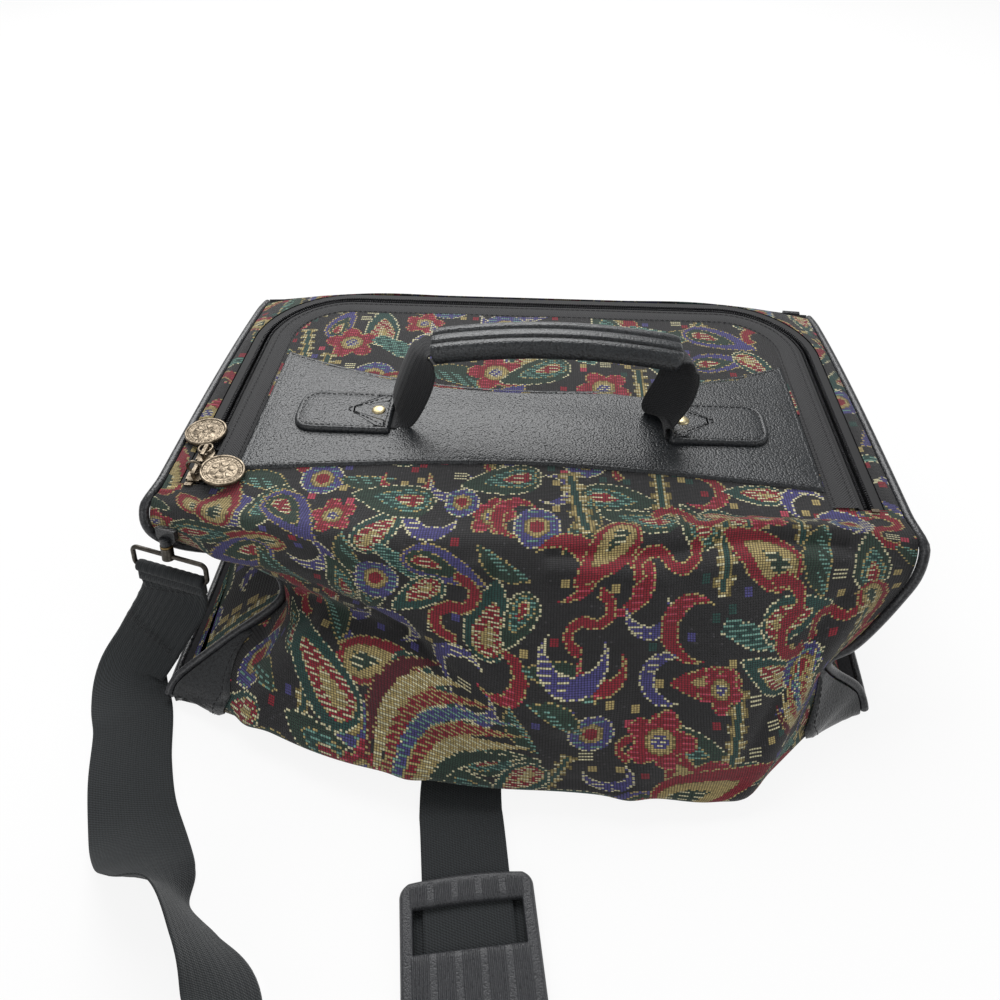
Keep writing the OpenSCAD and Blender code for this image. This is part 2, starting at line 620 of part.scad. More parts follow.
// The places of the strap's two fittings: at the front left corner, and behind the rear right one.
// Each has its own frame: along the bars, out of the bag and up the swivel's axis.
bag_end_x = half_w;
left_place = [-bag_end_x + 5.4, fold_y - 1.9, lid_h - 23];
right_place = [bag_end_x - 9, back_y + 6.4, lid_h - 22];
left_yaw = -15;
right_yaw = 175;
left_tilt = 15;
right_tilt = 0;
module at_left() {
    translate(left_place) rotate([0, 0, left_yaw]) rotate([-left_tilt, 0, 0]) children();
}
module at_right() {
    translate(right_place) rotate([0, 0, right_yaw]) rotate([-right_tilt, 0, 0]) children();
}
function hung(place, yaw, tilt, z) =
    place + z * [-sin(yaw) * sin(tilt), cos(yaw) * sin(tilt), cos(tilt)];

// The tab that is sewn to the corner and holds the swivel stud
pin_r = 1.3;
shank_r = 1.6;
barrel_r = 3;
barrel_top = 5.1;
module strap_tab() {
    color(vinyl) difference() {
        union() {
            translate([0, 3, 0]) rotate([90, 0, 0]) linear_extrude(2.8)
                polygon([[-3, 6.9], [3, 6.9], [5.4, 10], [5.4, 14.8], [-5.4, 14.8], [-5.4, 10]]);
            translate([0, 0, 6.7]) cylinder(h = 3.6, r = 2.8);
        }
        translate([0, 0, 6]) cylinder(h = 3.4, r = shank_r + 0.1);
    }
}
module strap_stud() {
    color(antique_brass) {
        translate([0, 0, 2.4]) cylinder(h = 0.9, r = 2);
        translate([0, 0, 2.6]) cylinder(h = 3.4, r = pin_r);
        translate([0, 0, barrel_top + seat_gap]) cylinder(h = 1, r = barrel_r);
        translate([0, 0, 6]) cylinder(h = 3.2, r = shank_r);
    }
}
// The wire loop with its swivel barrel
wire_r = wire_d / 2;
loop_half = strap_w / 2 + 1 + wire_r;
bend_r = 3;
module wire_bar(z) {
    translate([-loop_half + bend_r, 0, z]) rotate([0, 90, 0])
        cylinder(h = 2 * (loop_half - bend_r), r = wire_r, $fn = 24);
}
module strap_loop() {
    color(dark_steel) {
        wire_bar(0);
        wire_bar(-loop_h);
        for (side = [-1, 1]) {
            translate([side * loop_half, 0, -loop_h + bend_r])
                cylinder(h = loop_h - 2 * bend_r, r = wire_r, $fn = 24);
            for (z = [-bend_r, -loop_h + bend_r])
                translate([side * (loop_half - bend_r), 0, z]) rotate([90, 0, 0])
                    rotate([0, 0, side > 0 ? (z == -bend_r ? 0 : 270) : (z == -bend_r ? 90 : 180)])
                    rotate_extrude(angle = 90) translate([bend_r, 0]) circle(r = wire_r, $fn = 24);
        }
        difference() {
            translate([0, 0, -1.8]) cylinder(h = barrel_top + 1.8, r = barrel_r);
            translate([0, 0, 2]) cylinder(h = 1.7, r = 2.3);
            translate([0, 0, 3.5]) cylinder(h = 3, r = pin_r + 0.35);
        }
    }
}

// The strap's course. Each point is a place on its middle line with the direction of its left
// edge: the angle in the ground plane and the angle above it. The first and last points hang below
// the wire loops, and so do the heights next to them.
bar_drop = loop_h + wire_r + strap_t / 2 + 0.6;
// The tail that turns with the loop, and the straight start of the webbing below it
tail_l = 5;
straight_l = 6;
left_bar = hung(left_place, left_yaw, left_tilt, -bar_drop);
right_bar = hung(right_place, right_yaw, right_tilt, -bar_drop);
left_start = hung(left_place, left_yaw, left_tilt, -bar_drop - tail_l - seat_gap);
right_start = hung(right_place, right_yaw, right_tilt, -bar_drop - tail_l - seat_gap);
left_out = hung(left_place, left_yaw, left_tilt, -bar_drop - tail_l - straight_l);
right_out = hung(right_place, right_yaw, right_tilt, -bar_drop - tail_l - straight_l);
// Offsets from the left loop, with heights in shares of the loop's height
left_fall = [
    [[-9.5, -8, 0.54], -20, 0],
    [[-20, -16, 0.26], -17, 0], [[-27, -26, 0.09], -8, 0], [[-24, -38, 0.02], 4, 0],
    [[-16, -53, 0.02], 16, 0],
];
// Places on the ground: in front of the bag, through the pad, under the bag and behind it
ground_course = [
    [[-184, -161, 1], 25, 0], [[-173, -184, 1.4], 28, -2], [[-160, -200, 8.3], 33, -22],
    [[-149, -210, 15.6], 45, -50], [[-138.5, -218, 18.8], 118, -72], [[-122, -233, 18.9], 60, -74],
    [[-106, -251, 17], 20, -56], [[-94, -277, 19.1], 20, -76], [[-89, -308, 19.3], 10, -87],
    [[-86, -340, 19.3], 0, -90], [[-81, -380, 19.3], 0, -90], [[-73, -425, 19.3], 0, -90],
    [[-67.7, -451, 19.3], 0, -90], [[-52.4, -470, 19.3], 0, -90], [[-26, -478, 19.3], 0, -90],
    [[0.4, -470, 19.3], 0, -90], [[15.7, -451, 19.3], 0, -90], [[20, -432, 19.3], 180, -86],
    [[18, -417, 17.6], 186, -62], [[15, -403, 10.2], 187, -29], [[12.2, -391, 4.2], 188, -7],
    [[10.9, -384, 2.7], 189.3, 0], [[-4.1, -292, 2.7], 189.3, 0], [[-21, -189, 2.7], 189.3, 0],
    [[-24.2, -170, 1.4], 184, 0], [[-25, -150, 1.1], 181, 0], [[-23, -110, 1.1], 174, 0],
    [[-12, -50, 1.1], 167, 0], [[6, 10, 1.1], 163, 0], [[27, 70, 1.1], 160, 0],
    [[47, 125, 1.1], 162, 0], [[57, 152, 2], 165, 3], [[61.5, 163, 10.3], 165, 28],
    [[65.5, 172, 17.4], 163, 60], [[70.5, 182, 19.4], 0, 90], [[76.6, 199, 19.4], 0, 90],
    [[95.3, 216, 19.4], 0, 90], [[120.3, 219.4, 19.4], 0, 90], [[142.7, 207.7, 19.4], 0, 90],
    [[153.6, 190, 19.6], 0, 86],
];
// Offsets from the right loop, with heights in shares of the loop's height
right_fall = [
    [[-13.5, 36, 0.4], 0, 74], [[-9.5, 24, 0.42], 0, 44], [[-4, 10, 0.56], -3, 12],
];
function hang_from(bar, row) =
    [[bar.x + row[0].x, bar.y + row[0].y, max(bar.z * row[0].z, 1)], row[1], row[2]];
course = concat(
    [[left_start, left_yaw, 0], [left_out, left_yaw, 0]],
    [for (row = left_fall) hang_from(left_bar, row)],
    ground_course,
    [for (row = right_fall) hang_from(right_bar, row)],
    [[right_out, right_yaw - 180, 0], [right_start, right_yaw - 180, 0]]
);
course_end = len(course) - 1;
course_points = [for (row = course) row[0]];
course_edges = [for (row = course) [cos(row[1]) * cos(row[2]), sin(row[1]) * cos(row[2]), sin(row[2])]];
fine_nudge = 0.003;
function flat_outline(w, t) = [for (q = [[-1, -0.4], [-0.97, -1], [0.97, -1], [1, -0.4],
    [1, 0.4], [0.97, 1], [-0.97, 1], [-1, 0.4]]) [q.x * w / 2, q.y * t / 2]];
function course_ring(s, outline) = let (p = along(course_points, s),
        d = unit(along(course_points, min(s + fine_nudge, course_end))
            - along(course_points, max(s - fine_nudge, 0))),
        edge = along(course_edges, s), n = unit(cross(d, edge)), w = cross(n, d))
    [for (q = outline) let (r = p + w * q.x + n * q.y) [r.x, r.y, max(r.z, 0.05)]];
// The place along the course, from s on in steps of f, that lies l of webbing further
function run_on(s, l, f) = l <= 0 ? s : run_on(s + f,
    l - norm(along(course_points, s + f) - along(course_points, s)), f);
left_end_s = run_on(0, strap_end_l - tail_l, 0.05);
right_end_s = run_on(course_end, strap_end_l - tail_l, -0.05);

// The end of the webbing, sewn round the loop's lower bar, with the tail that turns with it
module strap_end() {
    inside = wire_r + 0.3;
    color(webbing) {
        translate([-strap_w / 2, 0, -loop_h]) rotate([0, 90, 0]) difference() {
            cylinder(h = strap_w, r = inside + strap_t);
            translate([0, 0, -1]) cylinder(h = strap_w + 2, r = inside);
        }
        translate([-strap_w / 2, -strap_t, -bar_drop - tail_l])
            cube([strap_w, 2 * strap_t, tail_l + 0.4]);
    }
}
// The webbing is double over its sewn ends
module strap_webbing() {
    steps = 79;
    color(webbing) swept([for (i = [0 : steps]) let (s = course_end * i / steps)
        course_ring(s, flat_outline(strap_w, s < left_end_s || s > right_end_s ? 2 * strap_t : strap_t))]);
}

// The shoulder pad, threaded on the webbing where it lies straight on the ground
pad_turn = 9.33;
pad_middle = [-4.6, -289];
pad_bar = 11;
pad_window_l = 16.5;
pad_window_w = pad_w - 11;
ridge_h = 0.4;
slot_z = 1.4;
slot_h = strap_t + 0.8;
slot_w = strap_w + 1.6;
module pad_outline(inset) {
    w = pad_w / 2 - inset;
    l = pad_l / 2 - inset;
    r = 6 - inset;
    difference() {
        union() {
            translate([-w + r, -l]) square([2 * (w - r), 2 * l]);
            translate([-w, -l + r]) square([2 * w, 2 * (l - r)]);
            for (x = [-1, 1], y = [-1, 1]) translate([x * (w - r), y * (l - r)]) circle(r);
        }
        for (side = [-1, 1])
            translate([-pad_window_w / 2 - inset,
                side * (pad_l / 2 - pad_bar - pad_window_l / 2) - pad_window_l / 2 - inset])
                square([pad_window_w + 2 * inset, pad_window_l + 2 * inset]);
    }
}
module shoulder_pad() {
    body_h = pad_t - ridge_h;
    group = pad_w / 5.6;
    color(rubber) translate([pad_middle.x, pad_middle.y, 0]) rotate([0, 0, pad_turn]) {
        difference() {
            linear_extrude(body_h) pad_outline(0);
            translate([-slot_w / 2, -pad_l, slot_z]) cube([slot_w, 2 * pad_l, slot_h]);
            translate([-slot_w / 2, -pad_l, -1]) cube([slot_w, 2 * pad_l, slot_z + 2]);
        }
        for (side = [-1, 1])
            translate([-slot_w / 2 - 1, side * (pad_l / 2 - pad_bar - pad_window_l / 2) - 4, 0])
                cube([slot_w + 2, 8, 1.2]);
        translate([0, 0, body_h]) linear_extrude(ridge_h) intersection() {
            pad_outline(2);
            for (g = [-2 : 2], k = [-2 : 2])
                translate([g * group + k * 1.5 - 0.4, -pad_l / 2]) square([0.8, pad_l]);
        }
    }
}

main_panel();
end_panel(0);  // end_panel_left
end_panel(right_column);  // end_panel_right
top_gusset();
piping(0);  // piping_left
piping(right_column);  // piping_right
corner_patch(0, [17, 24] / 3, 14);  // corner_patch_front_left
corner_patch(right_column, [16, 24] / 3, 16);  // corner_patch_front_right
corner_patch(0, [38, 33] / 3, 10);  // corner_patch_rear_left
corner_patch(right_column, [38, 33] / 3, 10);  // corner_patch_rear_right
zip_tape_body();
zip_coil_body();
zip_end_stop();
lid_panel();
lid_band();
lid_binding();
zip_tape_lid();
zip_coil_lid();
handle_tab(-1);  // handle_tab_left
handle_tab(1);  // handle_tab_right
handle_rivet(-1);  // handle_rivet_left
handle_rivet(1);  // handle_rivet_right
handle_webbing();
handle_grip();
zip_slider(front_slider_y);  // zip_slider_front
zip_slider(rear_slider_y);  // zip_slider_rear
pull_front();  // zip_pull_front
pull_rear();  // zip_pull_rear
at_left() strap_tab();  // strap_tab_left
at_right() strap_tab();  // strap_tab_right
at_left() strap_stud();  // strap_stud_left
at_right() strap_stud();  // strap_stud_right
at_left() strap_loop();  // strap_loop_left
at_right() strap_loop();  // strap_loop_right
at_left() strap_end();  // strap_end_left
at_right() strap_end();  // strap_end_right
strap_webbing();
shoulder_pad();
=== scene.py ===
import math

import bpy
import numpy as np
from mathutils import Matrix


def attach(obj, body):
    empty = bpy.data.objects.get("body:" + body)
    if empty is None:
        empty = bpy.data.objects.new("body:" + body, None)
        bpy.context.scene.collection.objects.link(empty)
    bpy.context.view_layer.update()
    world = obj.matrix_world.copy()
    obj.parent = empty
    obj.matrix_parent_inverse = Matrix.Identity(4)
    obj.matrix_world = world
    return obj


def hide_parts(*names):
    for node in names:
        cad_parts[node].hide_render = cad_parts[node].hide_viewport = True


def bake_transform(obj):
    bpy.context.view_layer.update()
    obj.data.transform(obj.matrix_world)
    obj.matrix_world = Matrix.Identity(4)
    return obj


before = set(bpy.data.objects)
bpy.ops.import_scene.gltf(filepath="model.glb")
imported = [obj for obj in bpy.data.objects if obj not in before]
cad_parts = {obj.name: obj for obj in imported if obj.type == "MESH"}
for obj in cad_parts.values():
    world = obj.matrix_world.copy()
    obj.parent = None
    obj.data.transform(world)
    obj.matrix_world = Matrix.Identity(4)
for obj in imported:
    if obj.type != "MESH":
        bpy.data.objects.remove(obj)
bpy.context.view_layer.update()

# Driving sizes, in millimetres, as the CAD has them
MM = 0.001
UP = (0, 0, 1)
HALF_W = 181.0
LID_H = 88.0
BELLY_REACH = 86.0
BACK_REACH = 28.0
BASE_LIFT = 3.6
SEAM_LIFT = 1.8
CLOTH_T = 2.4
BELLOWS = 9.0
PIPE_R = 2.4
VINYL_T = 1.1
FOLD_Y = -78.0
BACK_Y = 136.0
HINGE_Y = -58.0
ZIP_INSET = 15.0
ZIP_R = 50.0
ZIP_HALF = 7.0
ZIP_Y = HINGE_Y + 6.5
ZIP_Z = LID_H - 1
BINDING_OUT = -5.2
BINDING_W = 13.0
BAND_HALF = 147.6
BAND_Y = 2.0
HANDLE_Y = 6.0
TAB_X = 74.0
STRAP_W = 38.0
STRAP_T = 1.8
# How far from the side seams the cloth lies flat
SEAM_CALM = 22.0


def lerp(a, b, t):
    return a + (b - a) * t


def unit(v):
    return v / np.maximum(np.linalg.norm(v, axis=-1, keepdims=True), 1e-9)


def smooth_step(t):
    t = np.clip(t, 0, 1)
    return t * t * (3 - 2 * t)


def weights(s, n):
    """Catmull-Rom weights of n points for each place s on the line through them"""
    s = np.asarray(s, float).ravel()
    i = np.clip(np.floor(s).astype(int), 0, n - 2)
    u = s - i
    cubic = 0.5 * np.stack([-u + 2 * u**2 - u**3, 2 - 5 * u**2 + 3 * u**3,
                            u + 4 * u**2 - 3 * u**3, u**3 - u**2], axis=1)
    w = np.zeros((len(s), n))
    for k in range(4):
        np.add.at(w, (np.arange(len(s)), np.clip(i + k - 1, 0, n - 1)), cubic[:, k])
    return w


def along(points, s):
    """Points of the smooth line through the given ones, at places counted in points"""
    return weights(s, len(points)) @ np.asarray(points, float)


def path_length(points):
    """How far along the path each point lies"""
    steps = np.linalg.norm(np.diff(points, axis=0), axis=1)
    return np.concatenate([[0], np.cumsum(steps)])


# The bag's skin: the same net of points as the CAD's main panel
FRONT_ROWS = [
    [[-1.016, -0.17, 0.97], [-0.63, 0.02, 1], [-0.32, 0.1, 1], [0, 0.09, 1], [0.32, -0.01, 1],
     [0.63, -0.13, 1], [1.016, -0.1, 0.97]],
    [[-1.01, -0.08, 0.86], [-0.59, 0.14, 0.9], [-0.32, 0.24, 0.88], [0, 0.31, 0.85],
     [0.32, 0.27, 0.85], [0.62, 0.16, 0.85], [1.01, 0, 0.83]],
    [[-0.94, -0.08, 0.72], [-0.59, 0.19, 0.74], [-0.32, 0.36, 0.73], [0, 0.51, 0.68],
     [0.32, 0.47, 0.68], [0.62, 0.41, 0.64], [0.97, 0.08, 0.67]],
    [[-0.75, -0.13, 0.56], [-0.6, 0.1, 0.54], [-0.31, 0.41, 0.62], [0, 0.71, 0.51],
     [0.32, 0.67, 0.52], [0.62, 0.6, 0.48], [0.87, 0.25, 0.5]],
    [[-0.67, 0.06, 0.43], [-0.61, 0.35, 0.46], [-0.3, 0.64, 0.52], [0, 0.86, 0.37],
     [0.32, 0.85, 0.35], [0.63, 0.76, 0.31], [0.81, 0.31, 0.4]],
    [[-0.82, 0.28, 0.27], [-0.61, 0.6, 0.31], [-0.29, 0.82, 0.34], [0, 0.95, 0.22],
     [0.33, 0.95, 0.2], [0.62, 0.86, 0.16], [0.85, 0.3, 0.26]],
    [[-0.955, 0.45, 0.11], [-0.61, 0.8, 0.13], [-0.3, 0.965, 0.13], [0, 0.965, 0.1],
     [0.33, 0.965, 0.1], [0.58, 0.91, 0.07], [0.935, 0.3, 0.12]],
    [[-0.97, 0.45, 0], [-0.61, 0.48, 0], [-0.31, 0.47, 0], [0, 0.46, 0], [0.31, 0.46, 0],
     [0.6, 0.47, 0], [0.96, 0.31, 0]],
]
BACK_ROWS = [
    [-0.64, -0.64, 0, 0.025],
    [0.84, -0.3, 0.16, 0.05],
    [1, -0.5, 0.36, 0.2],
    [0.8, -0.4, 0.6, 0.22],
    [0.4, -0.1, 0.84, 0.03],
]
ACROSS = [-1, -0.62, -0.31, 0, 0.31, 0.62, 1]
REAR_DROOP = 7.5
FOLD_ROW, BASE_ROW, RIM_ROW = 1, 8, 16
RIGHT = 6


def front_point(p):
    return [p[0] * HALF_W, FOLD_Y - p[1] * BELLY_REACH, p[2] * LID_H]


def back_point(row, a):
    e = abs(a) ** 3
    return [a * HALF_W * (1 - e * row[3]), BACK_Y + lerp(row[0], row[1], e) * BACK_REACH,
            row[2] * LID_H]


def base_point(a, t):
    return [a * HALF_W * 0.975,
            lerp(FOLD_Y - 0.47 * BELLY_REACH, BACK_Y - 0.64 * BACK_REACH, t), BASE_LIFT]


NET = np.array(
    [[[a * HALF_W, HINGE_Y - 0.3, LID_H] for a in ACROSS]]
    + [[front_point(p) for p in row] for row in FRONT_ROWS]
    + [[base_point(a, t) for a in ACROSS] for t in (1 / 3, 2 / 3)]
    + [[back_point(row, a) for a in ACROSS] for row in BACK_ROWS]
    + [[[a * HALF_W, BACK_Y + CLOTH_T + 0.3, LID_H - 1 - (REAR_DROOP if abs(a) == 1 else 0)]
        for a in ACROSS]])


def strap_lift(s, c):
    """The front left corner of the base rides over the strap"""
    return np.where(np.asarray(s) < 7, 0, (STRAP_T + 0.9) * np.clip((8.8 - s) * 2, 0, 1)
                    * np.clip(1.3 - c, 0, 1))


def skin(s, c):
    """The bag's outside: s down the front, under and up the back, c from left to right"""
    s, c = np.broadcast_arrays(np.asarray(s, float), np.asarray(c, float))
    p = np.einsum("irk,ir->ik", np.einsum("rck,ic->irk", NET, weights(c, RIGHT + 1)),
                  weights(s, RIM_ROW + 1))
    p = p.reshape(s.shape + (3,))
    floor_z = lerp(BASE_LIFT, SEAM_LIFT, np.abs(c / 3 - 1) ** 8)
    p[..., 2] = np.maximum(p[..., 2], floor_z + strap_lift(s, c))
    return p


NUDGE = 0.04


def skin_down(s, c):
    return unit(skin(np.minimum(s + NUDGE, RIM_ROW), c) - skin(np.maximum(s - NUDGE, 0), c))


def skin_across(s, c):
    return unit(skin(s, np.minimum(c + NUDGE, RIGHT)) - skin(s, np.maximum(c - NUDGE, 0)))


def skin_normal(s, c):
    """The directions outward"""
    return unit(np.cross(skin_down(s, c), skin_across(s, c)))


def even_rows(s0, s1, count):
    """Rows from s0 to s1 that are evenly far apart along the cloth"""
    s = np.linspace(s0, s1, 600)
    run = np.mean([path_length(skin(s, c)) for c in (1, 2, 3, 4, 5)], axis=0)
    return np.interp(np.linspace(0, run[-1], count), run, s), run[-1]


def even_columns(count):
    """Columns that are evenly far apart across the bag"""
    c = np.linspace(0, RIGHT, 600)
    return np.interp(np.linspace(-1, 1, count), along(np.array(ACROSS)[:, None], c)[:, 0], c)


def edge_z(y):
    """The height of the upper side edges"""
    return LID_H - 0.6 - (REAR_DROOP - 0.3) * ((y - HINGE_Y) / (BACK_Y - HINGE_Y)) ** 3


# Meshes
def new_object(name, data):
    obj = bpy.data.objects.new(name, data)
    bpy.context.scene.collection.objects.link(obj)
    return obj


def add_mesh(name, points, faces, material, body, uv=None, colours=None):
    """One piece from points in millimetres. uv and colours are one value per face corner."""
    mesh = bpy.data.meshes.new(name)
    mesh.from_pydata((np.asarray(points, float) * MM).tolist(), [],
                     faces.tolist() if isinstance(faces, np.ndarray) else faces)
    mesh.materials.append(material)
    if uv is not None:
        mesh.uv_layers.new(name="UVMap").data.foreach_set(
            "uv", np.asarray(uv, np.float32).ravel())
    if colours is not None:
        layer = mesh.color_attributes.new("weave", "FLOAT_COLOR", "CORNER")
        layer.data.foreach_set("color", np.asarray(colours, np.float32).ravel())
    mesh.shade_smooth()
    mesh.update()
    obj = new_object(name, mesh)
    if body:
        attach(obj, body)
    return obj


def grid_faces(rows, cols, wrap=False):
    """Quads of a grid, each with its points in the order a, b, c, d round it"""
    i, j = np.mgrid[0:rows - 1, 0:cols if wrap else cols - 1]
    a = (i * cols + j).ravel()
    d = (i * cols + (j + 1) % cols).ravel()
    return np.stack([a, a + cols, d + cols, d], axis=1)


def grid_uv(u, v):
    """The face corners' uv for a grid with u along its columns and v along its rows"""
    uu, vv = np.meshgrid(u, v)
    quads = grid_faces(len(v), len(u))
    return np.stack([uu.ravel()[quads], vv.ravel()[quads]], axis=-1)


def sheet_mesh(name, grid, material, body, u=None, v=None, keep=None, colours=None, flip=False):
    """One piece from a grid of points, without the quads where keep is false"""
    rows, cols = grid.shape[:2]
    faces = grid_faces(rows, cols)
    uv = grid_uv(np.arange(cols) if u is None else u, np.arange(rows) if v is None else v)
    col = None if colours is None else np.repeat(colours.reshape(-1, 1, 4), 4, axis=1)
    if keep is not None:
        pick = keep.ravel()
        faces, uv = faces[pick], uv[pick]
        col = None if col is None else col[pick]
    if flip:
        faces, uv = faces[:, ::-1], uv[:, ::-1]
    points = grid.reshape(-1, 3)
    used = np.unique(faces)
    renumber = np.zeros(len(points), int)
    renumber[used] = np.arange(len(used))
    return add_mesh(name, points[used], renumber[faces], material, body, uv, col)


def cell_middles(grid):
    return (grid[:-1, :-1] + grid[1:, 1:]) / 2


def calm_at_seams(grid):
    """From 0 at the side seams to 1 a little way in, so that cloth lies flat at the piping"""
    return np.clip((HALF_W - np.abs(grid[..., 0])) / SEAM_CALM, 0, 1)


def past_corner(x, y, half, depth, r):
    """How far points lie past the middles of the rounded rear corners, across and rearward"""
    return np.maximum(np.abs(x) - (half - r), 0), np.maximum(y - (depth - r), 0)


def sweep(rings, closed=False):
    """Points and faces of a tube through rings, capped unless it is closed"""
    rings = np.asarray(rings, float)
    count, sides = rings.shape[:2]
    looped = np.concatenate([rings, rings[:1]]) if closed else rings
    faces = grid_faces(len(looped), sides, wrap=True)
    if closed:
        faces = faces % (count * sides)
        return rings.reshape(-1, 3), faces.tolist()
    caps = [list(range(sides)), list(range(count * sides - 1, (count - 1) * sides - 1, -1))]
    return rings.reshape(-1, 3), faces.tolist() + caps


def sweep_uv(faces, rings, run, around):
    """uv of a swept piece: the way along it and the way round its section"""
    sides = rings.shape[1]
    out = []
    for f in faces:
        if len(f) != 4:
            out += [(around[k % sides], run[k // sides]) for k in f]
            continue
        for k in f:
            column = k % sides
            place = around[column]
            if column == 0 and f[3] % sides == 0 and f[0] % sides != 0:
                place = around[-1]
            out.append((place, run[k // sides]))
    return out


def swept(name, rings, material, body, closed=False, around=None):
    """One piece swept through rings, with its uv along and round it"""
    rings = np.asarray(rings, float)
    points, faces = sweep(rings, closed)
    run = path_length(rings.mean(axis=1))
    around = np.arange(rings.shape[1]) if around is None else around
    return add_mesh(name, points, faces, material, body, sweep_uv(faces, rings, run, around))


def round_rings(path, radius, sides, closed=False, up=(1, 0, 0)):
    path = np.asarray(path, float)
    if closed:
        d = unit(np.roll(path, -1, axis=0) - np.roll(path, 1, axis=0))
    else:
        d = unit(np.gradient(path, axis=0))
    up = np.asarray(up, float)
    a = unit(up - d * (d @ up)[:, None])
    b = np.cross(d, a)
    k = np.linspace(0, 2 * math.pi, sides, endpoint=False)
    return path[:, None] + radius * (a[:, None] * np.cos(k)[None, :, None]
                                     + b[:, None] * np.sin(k)[None, :, None])


def resample(points, step):
    """The same path through points that are evenly far apart"""
    run = path_length(points)
    count = max(2, int(round(run[-1] / step)) + 1)
    places = np.linspace(0, run[-1], count)
    return np.stack([np.interp(places, run, points[:, k]) for k in range(3)], axis=1)


def stitch_row(name, path, normal, body, stitch=2.7, gap=1.1, width=0.55, height=0.32):
    """A row of raised thread stitches along a path on a surface"""
    path = np.asarray(path, float)
    normal = np.broadcast_to(np.asarray(normal, float), path.shape)
    run = path_length(path)
    points, faces = [], []
    count = int(run[-1] // (stitch + gap))
    for n in range(count):
        start = n * (stitch + gap) + gap / 2
        places = start + stitch * np.array([0, 0.22, 0.78, 1])
        mid = np.stack([np.interp(places, run, path[:, k]) for k in range(3)], axis=1)
        up = unit(np.stack([np.interp(places, run, normal[:, k]) for k in range(3)], axis=1))
        d = unit(mid[3] - mid[0])
        side = unit(np.cross(up, d))
        first = len(points)
        for k, swell in enumerate((0.35, 1, 1, 0.35)):
            for w, h in ((-1, 0), (-0.6, 0.85), (0, 1.15), (0.6, 0.85), (1, 0)):
                points.append(mid[k] + side[k] * w * width / 2 * swell
                              + up[k] * (h * height * swell - 0.03))
        for k in range(3):
            for m in range(4):
                a = first + k * 5 + m
                faces.append([a, a + 1, a + 6, a + 5])
        faces.append([first + m for m in (0, 1, 2, 3, 4)])
        faces.append([first + 15 + m for m in (4, 3, 2, 1, 0)])
    row = add_mesh(name, points, faces, THREAD, body)
    return row


# Materials
def srgb(r, g, b):
    return tuple(((v / 255 + 0.055) / 1.055) ** 2.4 if v > 10 else v / 255 / 12.92
                 for v in (r, g, b)) + (1.0,)


class Shader:
    """A short way to wire a node material"""

    def __init__(self, name, roughness=0.5, metallic=0.0, **constants):
        self.material = bpy.data.materials.new(name)
        self.material.use_nodes = True
        self.tree = self.material.node_tree
        self.bsdf = self.tree.nodes["Principled BSDF"]
        self.bsdf.inputs["Roughness"].default_value = roughness
        self.bsdf.inputs["Metallic"].default_value = metallic
        for key, value in constants.items():
            self.bsdf.inputs[key.replace("_", " ")].default_value = value

    def node(self, kind, out=0, settings=None, **inputs):
        n = self.tree.nodes.new(kind)
        for key, value in (settings or {}).items():
            setattr(n, key, value)
        for key, value in inputs.items():
            self.feed(value, n.inputs[int(key[1:]) if key[0] == "i" and key[1:].isdigit()
                                      else key.replace("_", " ")])
        return n.outputs[out]

    def feed(self, value, socket):
        if isinstance(value, bpy.types.NodeSocket):
            self.tree.links.new(value, socket)
        else:
            socket.default_value = value

    def math(self, operation, a, b=0.0, c=0.0):
        return self.node("ShaderNodeMath", settings={"operation": operation}, i0=a, i1=b, i2=c)

    def mix(self, factor, a, b, blend="MIX"):
        """A mix of two colours. Its colours are inputs 6 and 7 and its result is output 2."""
        return self.node("ShaderNodeMix", out=2, settings={"data_type": "RGBA", "blend_type": blend},
                         i0=factor, i6=a, i7=b)

    def coords(self, kind="Object"):
        return self.node("ShaderNodeTexCoord", out=kind)

    def uv(self):
        split = self.tree.nodes.new("ShaderNodeSeparateXYZ")
        self.tree.links.new(self.coords("UV"), split.inputs[0])
        return split.outputs[0], split.outputs[1]

    def noise(self, scale, detail=3.0, vector=None):
        return self.node("ShaderNodeTexNoise", Vector=vector or self.coords(), Scale=scale,
                         Detail=detail)

    def ramp(self, value, low, high, to_low=0.0, to_high=1.0):
        return self.node("ShaderNodeMapRange", i0=value, i1=low, i2=high, i3=to_low, i4=to_high)

    def bump(self, height, strength, distance):
        return self.node("ShaderNodeBump", Height=height, Strength=strength, Distance=distance)

    def finish(self, colour=None, roughness=None, normal=None):
        if colour is not None:
            self.feed(colour, self.bsdf.inputs["Base Color"])
        if roughness is not None:
            self.feed(roughness, self.bsdf.inputs["Roughness"])
        if normal is not None:
            self.feed(normal, self.bsdf.inputs["Normal"])
        return self.material


def vinyl_material(name, dark, light, grain=950.0, roughness=0.42, depth=0.0005):
    """Grained vinyl: fine pebbles with darker creases between them"""
    m = Shader(name, roughness=roughness)
    warp = m.node("ShaderNodeVectorMath", settings={"operation": "MULTIPLY_ADD"},
                  i0=m.node("ShaderNodeTexNoise", out=1, Vector=m.coords(), Scale=grain * 0.3),
                  i1=(0.5 / grain,) * 3, i2=m.coords())
    pebbles = m.node("ShaderNodeTexVoronoi", Vector=warp, Scale=grain)
    pores = m.noise(grain * 2.3, 2.0)
    soft = m.noise(26.0, 2.0)
    dome = m.math("MULTIPLY", pebbles, pebbles)
    height = m.math("ADD", m.math("MULTIPLY", dome, -1.3), m.math("MULTIPLY", pores, 0.25))
    colour = m.mix(m.ramp(m.math("ADD", dome, m.math("MULTIPLY", soft, 0.25)), 0.1, 0.75),
                   light, dark)
    rough = m.ramp(pores, 0.3, 0.75, roughness - 0.05, roughness + 0.08)
    return m.finish(colour, rough, m.bump(height, 1.0, depth))


